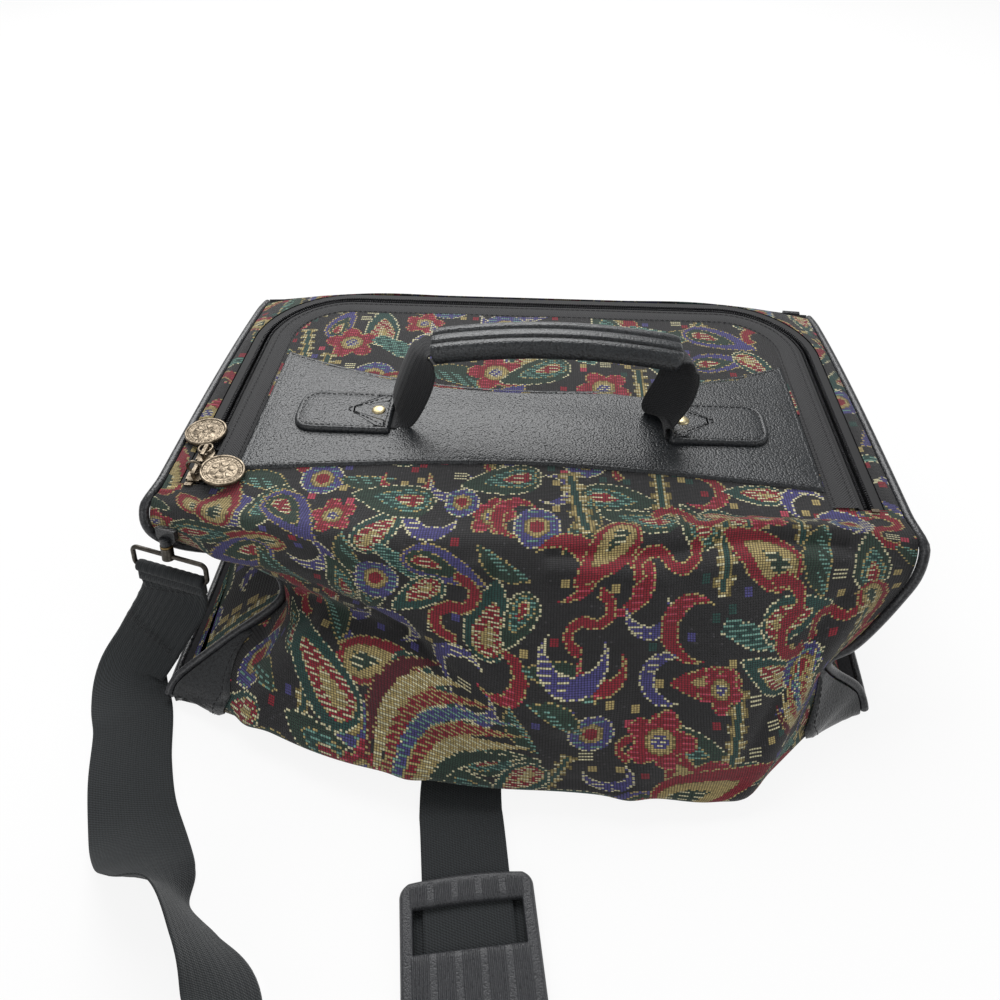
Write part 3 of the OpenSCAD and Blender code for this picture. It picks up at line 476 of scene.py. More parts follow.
def metal_material(name, base, worn, roughness):
    m = Shader(name, roughness=roughness, metallic=1.0)
    cloud = m.noise(420.0, 4.0)
    fine = m.noise(2600.0, 2.0)
    colour = m.mix(m.ramp(cloud, 0.35, 0.7), base, worn)
    return m.finish(colour, m.ramp(cloud, 0.3, 0.7, roughness - 0.05, roughness + 0.12),
                    m.bump(fine, 0.12, 0.0002))


def tapestry_material():
    """Woven cells in the colours of the mesh, each a small pillow, with painted shade in the gaps
    between the pillows and painted light on their crowns
    """
    m = Shader("tapestry_weave", roughness=0.86, Sheen_Weight=0.12, Sheen_Roughness=0.5)
    cells = m.node("ShaderNodeVertexColor", settings={"layer_name": "weave"})
    u, v = m.uv()
    pillow_u = m.math("SINE", m.math("MULTIPLY", m.math("FRACT", u), math.pi))
    pillow_v = m.math("SINE", m.math("MULTIPLY", m.math("FRACT", v), math.pi))
    ribs = m.math("SINE", m.math("MULTIPLY", m.math("FRACT", m.math("MULTIPLY", v, 2.0)), math.pi))
    pillow = m.math("MULTIPLY", m.math("POWER", pillow_u, 0.5), m.math("POWER", pillow_v, 0.5))
    # Painted shade and light: each cell is darker towards its edges, where the pillows meet, and
    # lighter on its crown
    shade = m.ramp(pillow, 0.2, 0.9, 0.16, 1.2)
    fuzz = m.ramp(m.noise(1400.0, 2.0), 0.3, 0.7, 0.84, 1.14)
    worn = m.ramp(m.noise(25.0, 2.0), 0.3, 0.7, 0.93, 1.07)
    tone = m.math("MULTIPLY", m.math("MULTIPLY", shade, fuzz), worn)
    grey = m.node("ShaderNodeCombineColor", i0=tone, i1=tone, i2=tone)
    colour = m.mix(1.0, cells, grey, "MULTIPLY")
    height = m.math("ADD", pillow, m.math("MULTIPLY", ribs, 0.35))
    return m.finish(colour, None, m.bump(height, 0.7, 0.0005))


def twill_material(name, dark, light, herringbone=True, pitch=1.5, mirror_at=0.0):
    """Twill tape: slanting ribs that turn back at the middle of the tape"""
    m = Shader(name, roughness=0.8, Sheen_Weight=0.08, Sheen_Roughness=0.5)
    u, v = m.uv()
    slant = m.math("ABSOLUTE", m.math("SUBTRACT", u, mirror_at)) if herringbone else u
    phase = m.math("MULTIPLY", m.math("ADD", v, slant), 2 * math.pi / pitch)
    ribs = m.ramp(m.math("SINE", phase), -1.0, 1.0)
    threads = m.ramp(m.math("SINE", m.math("MULTIPLY", u, 2 * math.pi / 0.8)), -1.0, 1.0)
    height = m.math("ADD", ribs, m.math("MULTIPLY", threads, 0.4))
    fuzz = m.noise(1800.0, 2.0)
    colour = m.mix(m.ramp(m.math("ADD", height, fuzz), 0.4, 1.9), dark, light)
    return m.finish(colour, None, m.bump(height, 0.6, 0.0005))


def webbing_material(name, dark, light, rib=3.6):
    """Webbing: lengthwise ribs crossed by short slanting threads"""
    m = Shader(name, roughness=0.82, Sheen_Weight=0.1, Sheen_Roughness=0.5)
    u, v = m.uv()
    slant = m.math("ADD", v, m.math("MULTIPLY", u, 0.5))
    threads = m.math("SINE", m.math("MULTIPLY", slant, 2 * math.pi / 1.1))
    ribs = m.math("SINE", m.math("MULTIPLY", u, 2 * math.pi / (rib / 3)))
    height = m.math("ADD", m.math("MULTIPLY", m.ramp(threads, -1, 1), 0.7),
                    m.math("MULTIPLY", m.ramp(ribs, -1, 1), 0.5))
    fuzz = m.noise(2200.0, 2.0)
    colour = m.mix(m.ramp(m.math("ADD", height, fuzz), 0.5, 1.8), dark, light)
    return m.finish(colour, None, m.bump(height, 0.5, 0.0004))


def plain_cloth_material(name, dark, light):
    m = Shader(name, roughness=0.9)
    fine = m.noise(900.0, 3.0)
    return m.finish(m.mix(m.ramp(fine, 0.3, 0.7), dark, light), None, m.bump(fine, 0.3, 0.0004))


TAPESTRY = tapestry_material()
VINYL = vinyl_material("grained_vinyl", srgb(18, 20, 22), srgb(44, 47, 50), 950.0, 0.3, 0.00017)
PATCH_VINYL = vinyl_material("patch_vinyl", srgb(20, 21, 23), srgb(44, 46, 48), 900.0, 0.3, 0.00014)
PIPING_VINYL = vinyl_material("piping_vinyl", srgb(26, 27, 29), srgb(54, 55, 58), 900.0, 0.3, 0.0001)
GRIP_VINYL = vinyl_material("grip_vinyl", srgb(22, 24, 26), srgb(50, 53, 56), 950.0, 0.3, 0.00015)
TWILL = twill_material("herringbone_twill", srgb(5, 5, 6), srgb(58, 58, 60),
                       mirror_at=BINDING_OUT - BINDING_W / 2)
TAPE = twill_material("zip_tape_cloth", srgb(12, 12, 13), srgb(36, 36, 38), False, 1.2)
COIL = vinyl_material("zip_coil_plastic", srgb(20, 20, 22), srgb(52, 52, 56), 2500.0, 0.35, 0.0001)
WEBBING = webbing_material("strap_webbing_cloth", srgb(4, 6, 7), srgb(40, 45, 48))
HANDLE_CLOTH = webbing_material("handle_webbing_cloth", srgb(6, 6, 7), srgb(52, 53, 56), 3.0)
PAD_RUBBER = vinyl_material("pad_rubber", srgb(42, 43, 46), srgb(60, 61, 64), 1600.0, 0.42, 0.0001)
NICKEL = metal_material("warm_nickel", srgb(146, 134, 117), srgb(82, 73, 61), 0.4)
PALE_BRASS = metal_material("pale_brass_metal", srgb(206, 194, 158), srgb(170, 155, 116), 0.34)
ANTIQUE = metal_material("antique_brass_metal", srgb(150, 128, 88), srgb(96, 78, 48), 0.4)
DARK_STEEL = metal_material("dark_steel_wire", srgb(92, 88, 82), srgb(56, 53, 49), 0.35)
THREAD = plain_cloth_material("stitching_thread", srgb(14, 14, 16), srgb(36, 36, 38))
LINING = plain_cloth_material("bag_lining", srgb(26, 26, 28), srgb(44, 44, 47))

# The tapestry's woven picture, one colour number per cell
CELL_U, CELL_V = 1.3, 0.95
GROUND, RED, GOLD, GREEN, VIOLET, CREAM, TEAL, ROSE, AQUA, WINE, OLIVE = range(11)
THREADS = np.array([srgb(*c) for c in (
    (34, 33, 35), (134, 26, 42), (168, 150, 98), (36, 58, 46), (70, 66, 122), (200, 194, 158),
    (32, 68, 62), (178, 64, 84), (104, 146, 134), (88, 20, 33), (118, 104, 58))])


class Weave:
    """A woven picture drawn in cells. Places and sizes are in millimetres on the cloth."""

    def __init__(self, width, length):
        self.cols = int(round(width / CELL_U))
        self.rows = int(round(length / CELL_V))
        self.cells = np.zeros((self.rows, self.cols), int)
        self.iv, self.iu = np.mgrid[0:self.rows, 0:self.cols]
        self.u = (self.iu + 0.5) * CELL_U
        self.v = (self.iv + 0.5) * CELL_V

    def local(self, x, y, turn, size):
        dx, dy = (self.u - x) / size, (self.v - y) / size
        c, s = math.cos(math.radians(turn)), math.sin(math.radians(turn))
        return dx * c + dy * s, dy * c - dx * s

    def paint(self, mask, colour):
        self.cells[mask] = colour

    def rim(self, mask):
        inside = mask.copy()
        inside[1:] &= mask[:-1]
        inside[:-1] &= mask[1:]
        inside[:, 1:] &= mask[:, :-1]
        inside[:, :-1] &= mask[:, 1:]
        return mask & ~inside

    def fill(self, mask, colour, edge=None, dotted=False):
        self.paint(mask, colour)
        if edge is not None:
            rim = self.rim(mask)
            if dotted:
                rim &= (self.iu + self.iv) % 3 > 0
            self.paint(rim, edge)

    def hatch(self, mask, colour, every=2, dash=6, skip=2):
        self.paint(mask & (self.iv % every == 0) & ((self.iu + self.iv * 2) % dash >= skip), colour)

    def drop(self, p, q, scale, bend):
        """A teardrop with its round end at p = -1 and its curled tip at p = 1"""
        t = (p / scale + 1) / 2
        q = q / scale - bend * t**2
        width = 1.35 * np.sqrt(np.clip(t, 0, 1)) * (1 - np.clip(t, 0, 1)) ** 0.8
        return (t > 0) & (t < 1) & (np.abs(q) < width)

    def paisley(self, x, y, size, turn, kind=0, bend=0.7):
        p, q = self.local(x, y, turn, size)
        shell, mid, core = [(GREEN, TEAL, RED), (RED, GOLD, GREEN), (VIOLET, GREEN, RED),
                            (TEAL, RED, GOLD)][kind % 4]
        self.fill(self.drop(p, q, 1.0, bend), shell, (CREAM, GOLD, GOLD, CREAM)[kind % 4], True)
        inner = self.drop(p + 0.22, q, 0.66, bend)
        self.fill(inner, mid, GOLD if mid != GOLD else OLIVE, True)
        self.hatch(inner, AQUA if mid == TEAL else CREAM if mid == RED else mid)
        heart = self.drop(p + 0.36, q, 0.36, bend)
        self.fill(heart, core, GOLD if core != GOLD else RED, True)
        self.hatch(heart, CREAM, 3)

    def crescent(self, x, y, size, turn, colour, edge=GOLD):
        p, q = self.local(x, y, turn, size)
        mask = (p**2 + q**2 < 1) & ((p - 0.42) ** 2 + (q + 0.1) ** 2 > 0.62)
        self.fill(mask, colour, edge, True)
        self.hatch(mask & (q < 0.1), {RED: ROSE, VIOLET: CREAM, GOLD: OLIVE}.get(colour, AQUA), 3)

    def curl(self, x, y, size, turn, colour, edge=GOLD):
        p, q = self.local(x, y, turn, size)
        r1, r2 = np.hypot(p + 0.45, q), np.hypot(p - 0.45, q)
        mask = (np.abs(r1 - 0.47) < 0.17) & (q < 0.08) | (np.abs(r2 - 0.47) < 0.17) & (q > -0.08)
        self.fill(mask, colour, edge, True)

    def ring(self, x, y, size, turn, colour, core):
        p, q = self.local(x, y, turn, size)
        r = np.hypot(p, q)
        self.fill(r < 1, colour, CREAM if colour == VIOLET else GOLD, True)
        self.fill(r < 0.55, GOLD, OLIVE, True)
        self.fill(r < 0.32, core)
        self.hatch((r < 0.9) & (r > 0.6), {VIOLET: AQUA}.get(colour, colour), 3)

    def flower(self, x, y, size, turn, colour=RED):
        p, q = self.local(x, y, turn, size)
        r, a = np.hypot(p, q), np.arctan2(q, p)
        petals = r < 0.62 + 0.38 * np.abs(np.cos(2.5 * a))
        self.fill(petals, colour, GOLD, True)
        self.hatch(petals & (r > 0.5), ROSE if colour == RED else CREAM, 3)
        self.fill(r < 0.42, GOLD, OLIVE, True)
        self.fill(r < 0.22, VIOLET)
        self.hatch(r < 0.22, CREAM, 2, 3, 1)

    def leaf(self, x, y, size, turn, colour=GREEN):
        p, q = self.local(x, y, turn, size)
        mask = np.abs(q - 0.25 * p**2) < 0.36 * np.clip(1 - p**2, 0, 1)
        self.fill(mask, colour, GOLD if colour != GOLD else OLIVE, True)
        self.hatch(mask & (q > 0.25 * p**2), AQUA if colour in (GREEN, TEAL) else CREAM, 2, 5, 2)

    def column(self, x, y, size, turn):
        p, q = self.local(x, y, turn, size)
        step = np.floor(p * 5) % 2
        mask = (np.abs(q) < 0.16 + 0.12 * step) & (np.abs(p) < 1)
        self.fill(mask, GOLD, OLIVE)
        self.hatch(mask, CREAM, 3)
        self.fill((np.abs(q) < 0.07) & (np.abs(p) < 0.9), TEAL)

    def feather(self, x, y, size, turn):
        """A fan of long curved blades, red and gold in turn"""
        p, q = self.local(x, y, turn, size)
        q = q - 0.45 * (p + 0.2) ** 2
        for k, colour in enumerate((WINE, GOLD, RED, VIOLET, RED, GOLD, GREEN)):
            shift = (k - 3) * 0.16 * (1 + 0.35 * p)
            reach = 1.0 - 0.09 * abs(k - 3)
            blade = (np.abs(q - shift) < 0.085 * np.clip(1.15 - (p / reach) ** 2, 0, 1)) \
                & (np.abs(p) < reach)
            self.fill(blade, colour, CREAM if colour in (VIOLET, GREEN) else GOLD, True)
            self.hatch(blade, {RED: GOLD, GOLD: CREAM, VIOLET: AQUA}.get(colour, colour), 2, 7, 2)

    def bars(self, x, y, size, turn):
        p, q = self.local(x, y, turn, size)
        mask = (np.abs(q) < 0.34) & (np.abs(p) < 1) & (np.abs(q + 0.3 * p) < 0.4)
        self.fill(mask, TEAL, CREAM, True)
        self.hatch(mask, AQUA, 2, 9, 2)

    def fleck(self, x, y, colour, rows, cols, every=1):
        """A small block of cells, or of every so many rows of them, where the ground is bare"""
        i, j = int(y / CELL_V), int(x / CELL_U)
        block = self.cells[max(i, 0):i + rows, max(j, 0):j + cols]
        if block.size and not block.any():
            block[::every] = colour

    def scatter(self, seed, pitch=27.0, size=15.0):
        """Fills the cloth with motifs, set out on a loose lattice"""
        pick = np.random.default_rng(seed)
        width, length = self.cols * CELL_U, self.rows * CELL_V
        rows, cols = int(length / pitch) + 2, int(width / pitch) + 2
        for i in range(rows):
            for j in range(cols):
                x = (j + (0.5 if i % 2 else 0) - 0.3 + pick.uniform(-0.2, 0.2)) * pitch
                y = (i - 0.2 + pick.uniform(-0.22, 0.22)) * pitch
                s = size * pick.uniform(0.85, 1.3)
                turn = pick.uniform(0, 360)
                self.motif(int(pick.integers(0, 12)), x, y, s, turn)
        for n in range(int(width * length / 95)):
            x, y = pick.uniform(0, width), pick.uniform(0, length)
            colour = (GOLD, GOLD, RED, ROSE, TEAL, VIOLET)[int(pick.integers(0, 6))]
            if n % 6 == 0:
                self.fleck(x, y, CREAM, 6, 5, 2)
            else:
                self.fleck(x, y, colour, 4, 3)

    def motif(self, kind, x, y, size, turn):
        draw, scale, share, own_turn, *colours = MOTIFS[kind]
        draw(self, x, y, size * scale, turn * share + own_turn, *colours)

    def colours(self, cells=None):
        """Each cell's colour, a little uneven from thread to thread"""
        cells = self.cells if cells is None else cells
        pick = np.random.default_rng(5)
        rgb = THREADS[cells].copy()
        uneven = pick.normal(1.0, 0.09, cells.shape) * pick.normal(1.0, 0.05, (cells.shape[0], 1))
        specks = (cells == GROUND) & (pick.random(cells.shape) < 0.02)
        rgb[specks, :3] *= 2.4
        rgb[..., :3] *= np.clip(uneven, 0.7, 1.35)[..., None]
        return rgb


# Each motif: how it is drawn, its scale, its share of the turn, its own turn, kind or colours
MOTIFS = [(Weave.paisley, 1.25, 1, 0, kind) for kind in range(4)] + [
    (Weave.crescent, 1, 1, 0, VIOLET, CREAM), (Weave.crescent, 1, 1, 0, RED),
    (Weave.flower, 0.95, 1, 0), (Weave.curl, 1.2, 1, 0, RED), (Weave.leaf, 1.3, 1, 0),
    (Weave.ring, 0.8, 0, 0, VIOLET, RED), (Weave.column, 1.3, 0.1, 80),
    (Weave.bars, 1.1, 0.15, 0), (Weave.feather, 1, 1, 0)]


def rumple(p, amount):
    """How far soft cloth stands off its pattern at each point"""
    x, y, z = p[..., 0], p[..., 1], p[..., 2]
    return amount * (0.5 * np.sin(x / 23 + y / 31 + 0.7) * np.sin(z / 17 - x / 47)
                     + 0.3 * np.sin(x / 11 - z / 9 + y / 19) + 0.2 * np.sin(y / 8 + x / 29 + z / 7))


# Tapestry pieces
LID_CLOTH_Y = -27.0
LID_EDGE_X = 159.5

# The folds of the front: points across from the middle and down from the hinge, width, height
CREASES = [
    ([(-150, 58), (-105, 46), (-72, 52), (-48, 64), (-30, 78)], 8.0, 2.6),
    ([(-150, 70), (-110, 60), (-76, 66), (-54, 76), (-38, 90)], 4.5, -1.8),
    ([(-22, 30), (-23, 64)], 3.6, 2.0),
    ([(-14, 32), (-15, 66)], 3.4, -1.6),
    ([(14, 31), (60, 35), (105, 34), (150, 35)], 4.0, 2.2),
    ([(12, 24), (60, 27), (105, 26), (150, 27)], 2.6, -1.7),
    ([(66, 40), (60, 62), (42, 84), (20, 92)], 7.0, 2.4),
    ([(-24, 80), (2, 90), (30, 88)], 6.0, 1.8),
    ([(-96, 96), (-120, 122), (-132, 142)], 7.0, 2.6),
    ([(-104, 92), (-130, 116)], 4.0, -1.7),
    ([(160, 58), (134, 84), (118, 112), (104, 140)], 7.0, 2.6),
    ([(150, 52), (124, 78), (108, 106)], 4.5, -1.6),
    ([(-70, 104), (-52, 130), (-46, 152)], 8.0, 1.6),
    ([(60, 112), (52, 138), (56, 158)], 8.0, 1.6),
]


def creases(x, run):
    """How far the folds stand off the cloth at each place"""
    total = np.zeros(np.broadcast(x, run).shape)
    for line, width, height in CREASES:
        near = np.full(total.shape, np.inf)
        for (ax, ay), (bx, by) in zip(line[:-1], line[1:]):
            dx, dy = bx - ax, by - ay
            t = np.clip(((x - ax) * dx + (run - ay) * dy) / (dx * dx + dy * dy), 0, 1)
            near = np.minimum(near, np.hypot(x - ax - t * dx, run - ay - t * dy))
        total += height * np.exp(-(near / width) ** 2)
    return np.clip(total, -1.8, 3.2)


def front_cloth():
    """From under the band over the lid's front, the hinge and the fold, down to the base"""
    s_rows, down = even_rows(0, BASE_ROW, int(200 / CELL_V) + 1)
    lid_rows = int(round((LID_CLOTH_Y - (HINGE_Y - 0.3)) / CELL_V))
    weave = Weave(2 * HALF_W, (lid_rows + len(s_rows) - 1) * CELL_V)
    c = even_columns(weave.cols + 1)
    body = skin(s_rows[:, None], c[None, :])
    out = skin_normal(np.maximum(s_rows, 0.02)[:, None], c[None, :])
    y = np.linspace(LID_CLOTH_Y, HINGE_Y - 0.3, lid_rows + 1)[:-1]
    lid = np.empty((lid_rows, len(c), 3))
    lid[..., 0] = body[0, :, 0]
    lid[..., 1] = y[:, None]
    lid[..., 2] = LID_H
    grid = np.concatenate([lid, body])
    normal = np.concatenate([np.broadcast_to([0.0, 0, 1], lid.shape), out])
    run = np.concatenate([y - HINGE_Y, [0] * len(s_rows)])
    run[lid_rows:] = -np.linspace(0, down, len(s_rows))
    near_ends = np.clip((172 - np.abs(grid[..., 0])) / 20, 0, 1)
    fold = (1.5 * np.exp(-((run + 17) / 6.0) ** 2))[:, None] * near_ends
    calm = calm_at_seams(grid)
    soft = np.clip((-run - 22) / 30, 0.15, 1)[:, None] * calm
    folds = creases(grid[..., 0], -run[:, None]) * calm
    grid = grid + normal * (fold + folds + rumple(grid, 1.2) * soft)[..., None]
    grid[..., 2] = np.maximum(grid[..., 2], SEAM_LIFT)
    draw_front(weave)
    middle = cell_middles(grid)
    keep = ~((middle[..., 1] > -56.5) & (np.abs(middle[..., 0]) > LID_EDGE_X))
    piece = sheet_mesh("front_cloth", grid, TAPESTRY, None, keep=keep,
                       colours=weave.colours())
    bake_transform(piece)
    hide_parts("main_panel", "lid_panel")


FEATHER = 12
# Motif, place across and down the cloth, size and turn
FRONT_MOTIFS = [
    (FEATHER, 136, 158, 44, -58), (3, 84, 158, 20, 200), (1, 262, 168, 24, -50), (9, 114, 80, 15, 0),
    (7, 152, 88, 15, 90), (4, 204, 106, 16, -70), (6, 243, 143, 17, 0), (6, 270, 118, 12, 20),
    (7, 305, 92, 15, 60), (8, 199, 128, 11, 30), (1, 222, 60, 15, 110), (10, 206, 28, 17, 0),
    (5, 176, 38, 12, 40), (9, 150, 30, 11, 0), (0, 118, 34, 16, 160), (2, 72, 40, 16, 20),
    (1, 30, 44, 16, 250), (7, 258, 40, 14, 10), (6, 292, 44, 13, 40), (4, 330, 40, 14, 150),
    (FEATHER, 318, 140, 26, -130), (5, 60, 112, 15, 190), (8, 92, 122, 15, 60), (3, 186, 176, 15, 100),
]


def draw_front(weave):
    """The front's large motifs, over a ground of small ones"""
    weave.scatter(3, 24.0, 12.5)
    for kind, x, y, size, turn in FRONT_MOTIFS:
        weave.motif(kind, x, y, size, turn)


def rear_lid_cloth():
    """The lid's cloth behind the band, a little padded"""
    x0, y0, y1 = 156.0, 20.0, 118.0
    weave = Weave(2 * x0, y1 - y0)
    weave.scatter(8)
    x = np.linspace(-x0, x0, weave.cols + 1)
    y = np.linspace(y1, y0, weave.rows + 1)
    gx, gy = np.meshgrid(x, y)
    rise = 0.5 + 1.2 * np.clip((y1 - gy) / 30, 0, 1) * np.clip((gy - 20) / 12, 0, 1) \
        * np.clip((150 - np.abs(gx)) / 30, 0, 1)
    grid = np.stack([gx, gy, LID_H + rise + 0.25 * rumple(np.stack([gx, gy, gx * 0], -1), 1.5)], -1)
    middle = cell_middles(grid)
    r = ZIP_R - 10
    corner = np.hypot(*past_corner(middle[..., 0], middle[..., 1], 156, 119, r))
    piece = sheet_mesh("rear_lid_cloth", grid, TAPESTRY, "lid", keep=corner < r,
                       colours=weave.colours())


def back_and_base():
    """The cloth of the base and the back, up to the zip"""
    s_rows, _ = even_rows(BASE_ROW, RIM_ROW, int(300 / (CELL_V * 1.35)) + 1)
    weave = Weave(2 * HALF_W, (len(s_rows) - 1) * CELL_V)
    weave.scatter(21, 25.0, 14.0)
    c = even_columns(weave.cols + 1)
    grid = skin(s_rows[:, None], c[None, :])
    normal = skin_normal(s_rows[:, None], c[None, :])
    calm = calm_at_seams(grid) * (grid[..., 2] > 8) \
        * np.clip((RIM_ROW - 0.2 - s_rows[:, None]) / 1.5, 0, 1)
    grid = grid + normal * (rumple(grid, 1.4) * calm)[..., None]
    piece = sheet_mesh("back_and_base_cloth", grid, TAPESTRY, "bag", colours=weave.colours())


END_FRONT_S, END_BACK_S = 7.1, 11.6


def seam_inside(s, c):
    """Places just inside the cloth at an end seam"""
    side = 1 if c == 0 else -1
    p = skin(s, c) - skin_normal(s, c) * (CLOTH_T + 0.9) + np.array([side * 2.4, 0, 0])
    p[..., 2] = np.maximum(p[..., 2], BASE_LIFT + strap_lift(END_FRONT_S, c) + CLOTH_T + 2)
    return p


def end_point(c, w, t):
    """Places on an end panel: w from its top down, t from front to back"""
    w, t = np.broadcast_arrays(w, t)
    side = 1 if c == 0 else -1
    front = seam_inside(lerp(FOLD_ROW, END_FRONT_S, w), c)
    back = seam_inside(lerp(RIM_ROW, END_BACK_S, w), c)
    fold = BELLOWS * np.sin(math.pi * t) * np.sin(math.pi * w)
    swell = np.where(w < 0.3, 13 * np.sin(math.pi * t) * np.sin(math.radians(600) * w),
                     np.where(w > 0.7, 8 * np.sin(math.pi * t)
                              * np.sin(math.radians(600) * (1 - w)), 0))
    p = lerp(front, back, t[..., None])
    p[..., 0] += side * (fold - swell)
    p[..., 2] = np.minimum(p[..., 2], edge_z(p[..., 1]) - CLOTH_T / 2 - PIPE_R - 1)
    return p


def end_cloth(name, c, seed):
    """An end panel's cloth and its lining"""
    weave = Weave(210, 120)
    weave.scatter(seed, 25.0, 14.0)
    w = np.linspace(0, 1, weave.rows + 1)[:, None]
    t = np.linspace(0, 1, weave.cols + 1)[None, :]
    grid = end_point(c, w, t)
    piece = sheet_mesh(name, grid, TAPESTRY, "bag", colours=weave.colours(), flip=c != 0)
    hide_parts("end_panel_left" if c == 0 else "end_panel_right")
    inner = end_point(c, np.linspace(0, 1, 25)[:, None], np.linspace(0, 1, 25)[None, :])
    inner[..., 0] += (1 if c == 0 else -1) * CLOTH_T
    sheet_mesh(name + "_lining", inner, LINING, "bag", flip=c == 0)


def gusset_inner_x(y):
    """How far from the middle the gusset meets the zip's tape"""
    r = ZIP_R + ZIP_HALF
    return HALF_W - ZIP_INSET + ZIP_HALF + 0.3 - r + np.sqrt(
        np.maximum(0, r**2 - np.maximum(0, y - BACK_Y + r) ** 2))


def gussets():
    """The strips of cloth between the zip and the piping, with their own woven picture"""
    r = ZIP_R + ZIP_HALF
    straight = BACK_Y - r
    angle = np.radians(np.linspace(0, 86, 46))
    rows = np.concatenate([np.linspace(ZIP_Y - 5, straight, 132)[:-1], straight + r * np.sin(angle)])
    share = np.linspace(0, 1, 27)
    weave = Weave(2 * HALF_W + 4, 210)
    weave.scatter(34, 24.0, 12.0)
    for side, name in ((-1, "gusset_cloth_left"), (1, "gusset_cloth_right")):
        inner = np.where(rows < ZIP_Y - 0.5, HALF_W - 22, gusset_inner_x(rows))
        x = side * lerp(HALF_W, inner[:, None], share[None, :])
        y = rows[:, None] - 2.4 * (1 - share) ** 2 * np.maximum(0, rows[:, None] - BACK_Y + 3) / 3
        puff = 0.9 * np.sin(math.pi * share) * np.clip((rows[:, None] - ZIP_Y) / 8, 0, 1)
        z = lerp(edge_z(rows[:, None]), LID_H - 0.2, share[None, :]) + puff + 0.1
        grid = np.stack(np.broadcast_arrays(x, y, z), -1)
        middle = cell_middles(grid)
        cells = weave.cells[np.clip(((middle[..., 1] + 60) / CELL_V).astype(int), 0, weave.rows - 1),
                            np.clip(((middle[..., 0] + HALF_W) / CELL_U).astype(int), 0,
                                    weave.cols - 1)]
        piece = sheet_mesh(name, grid, TAPESTRY, "bag", colours=weave.colours(cells),
                           flip=side > 0)
        if side < 0:
            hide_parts("top_gusset")
        under = grid[::6, ::6].copy()
        under[..., 2] -= CLOTH_T
        sheet_mesh(name + "_lining", under, LINING, "bag", flip=side < 0)


def linings():
    """The plain lining inside the bag and under the lid"""
    s = np.linspace(0.05, RIM_ROW, 90)[:, None]
    c = np.linspace(0, RIGHT, 40)[None, :]
    grid = skin(s, c) - skin_normal(s, c) * CLOTH_T
    sheet_mesh("bag_lining", grid, LINING, "bag", flip=True)
    x = np.linspace(-158, 158, 60)
    y = np.linspace(HINGE_Y + 0.5, 121, 40)
    gx, gy = np.meshgrid(x, y)
    r = 43
    over_x, over_y = past_corner(gx, gy, 159, 122, r)
    corner = np.hypot(over_x, over_y)
    pull = np.where(corner > r, r / np.maximum(corner, 1e-6), 1)
    gx = np.sign(gx) * (np.abs(gx) - over_x + over_x * pull)
    gy = gy - over_y + over_y * pull
    grid = np.stack([gx, gy, np.full(gx.shape, LID_H - CLOTH_T)], -1)
    sheet_mesh("lid_lining", grid, LINING, "lid", flip=False)


# Piping and corner patches
def pipe_path(c):
    """A closed path round an end: down, under, up the back and along the top"""
    side = -1 if c == 0 else 1
    s = np.linspace(FOLD_ROW, RIM_ROW, 120)
    n, d = skin_normal(s, c), skin_down(s, c)
    w = skin_across(s, c) * side
    out = unit(w - d * np.sum(w * d, axis=1, keepdims=True))
    rise = skin(s, c) + unit(out + 0.35 * n) * (PIPE_R + 0.35)
    rise[:, 2] = np.maximum(rise[:, 2], PIPE_R + strap_lift(s, c))
    y = np.linspace(rise[-1, 1], rise[0, 1], 60)[3:-3]
    top = np.stack([np.full(len(y), side * (HALF_W + PIPE_R + 0.35)), y,
                    edge_z(y) - CLOTH_T / 2], 1)
    return np.concatenate([rise, top])


def piping(name, node, c):
    path = pipe_path(c)
    for _ in range(2):
        path = (np.roll(path, 1, 0) + 2 * path + np.roll(path, -1, 0)) / 4
    piece = swept(name, round_rings(path, PIPE_R, 14, True), PIPING_VINYL, "bag", True)
    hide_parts(node)


def corner_patch(name, node, c, rows, steps=44):
    """A vinyl patch over a lower corner, with a turned and stitched inner edge"""
    side = 1 if c == 0 else -1
    share = np.linspace(0, 1, steps + 1)
    taper = np.minimum(1, 2.4 * share)
    s = lerp(rows[0], rows[1], share)[:, None]
    reach = 0.13 + 0.37 * taper[:, None]
    v = np.linspace(0, 1, 15)[None, :]
    cc = c + side * (0.02 + (reach - 0.02) * v)
    gap = 0.75 * (1 + share)[:, None]
    rim = 1 - np.clip((v - 0.93) / 0.07, 0, 1) ** 2 * 0.75
    ends = np.clip(share / 0.03, 0.2, 1)[:, None]
    lift = (gap + VINYL_T) * rim * ends
    s2, c2 = np.broadcast_arrays(s, cc)
    grid = skin(s2, c2) + skin_normal(s2, c2) * (lift + rumple(skin(s2, c2), 0.25))[..., None]
    up = (side > 0) == (rows[1] > rows[0])
    piece = sheet_mesh(name, grid, PATCH_VINYL, "bag", flip=not up)
    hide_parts(node)
    line = c + side * (0.02 + (reach[:, 0] - 0.02) * 0.86)
    place = skin(s[:, 0], line)
    normal = skin_normal(s[:, 0], line)
    path = place + normal * ((gap[:, 0] + VINYL_T) + 0.05)[:, None]
    stitch_row(name + "_stitches", path[2:], normal[2:], "bag", 2.2, 1.0, 0.45, 0.25)


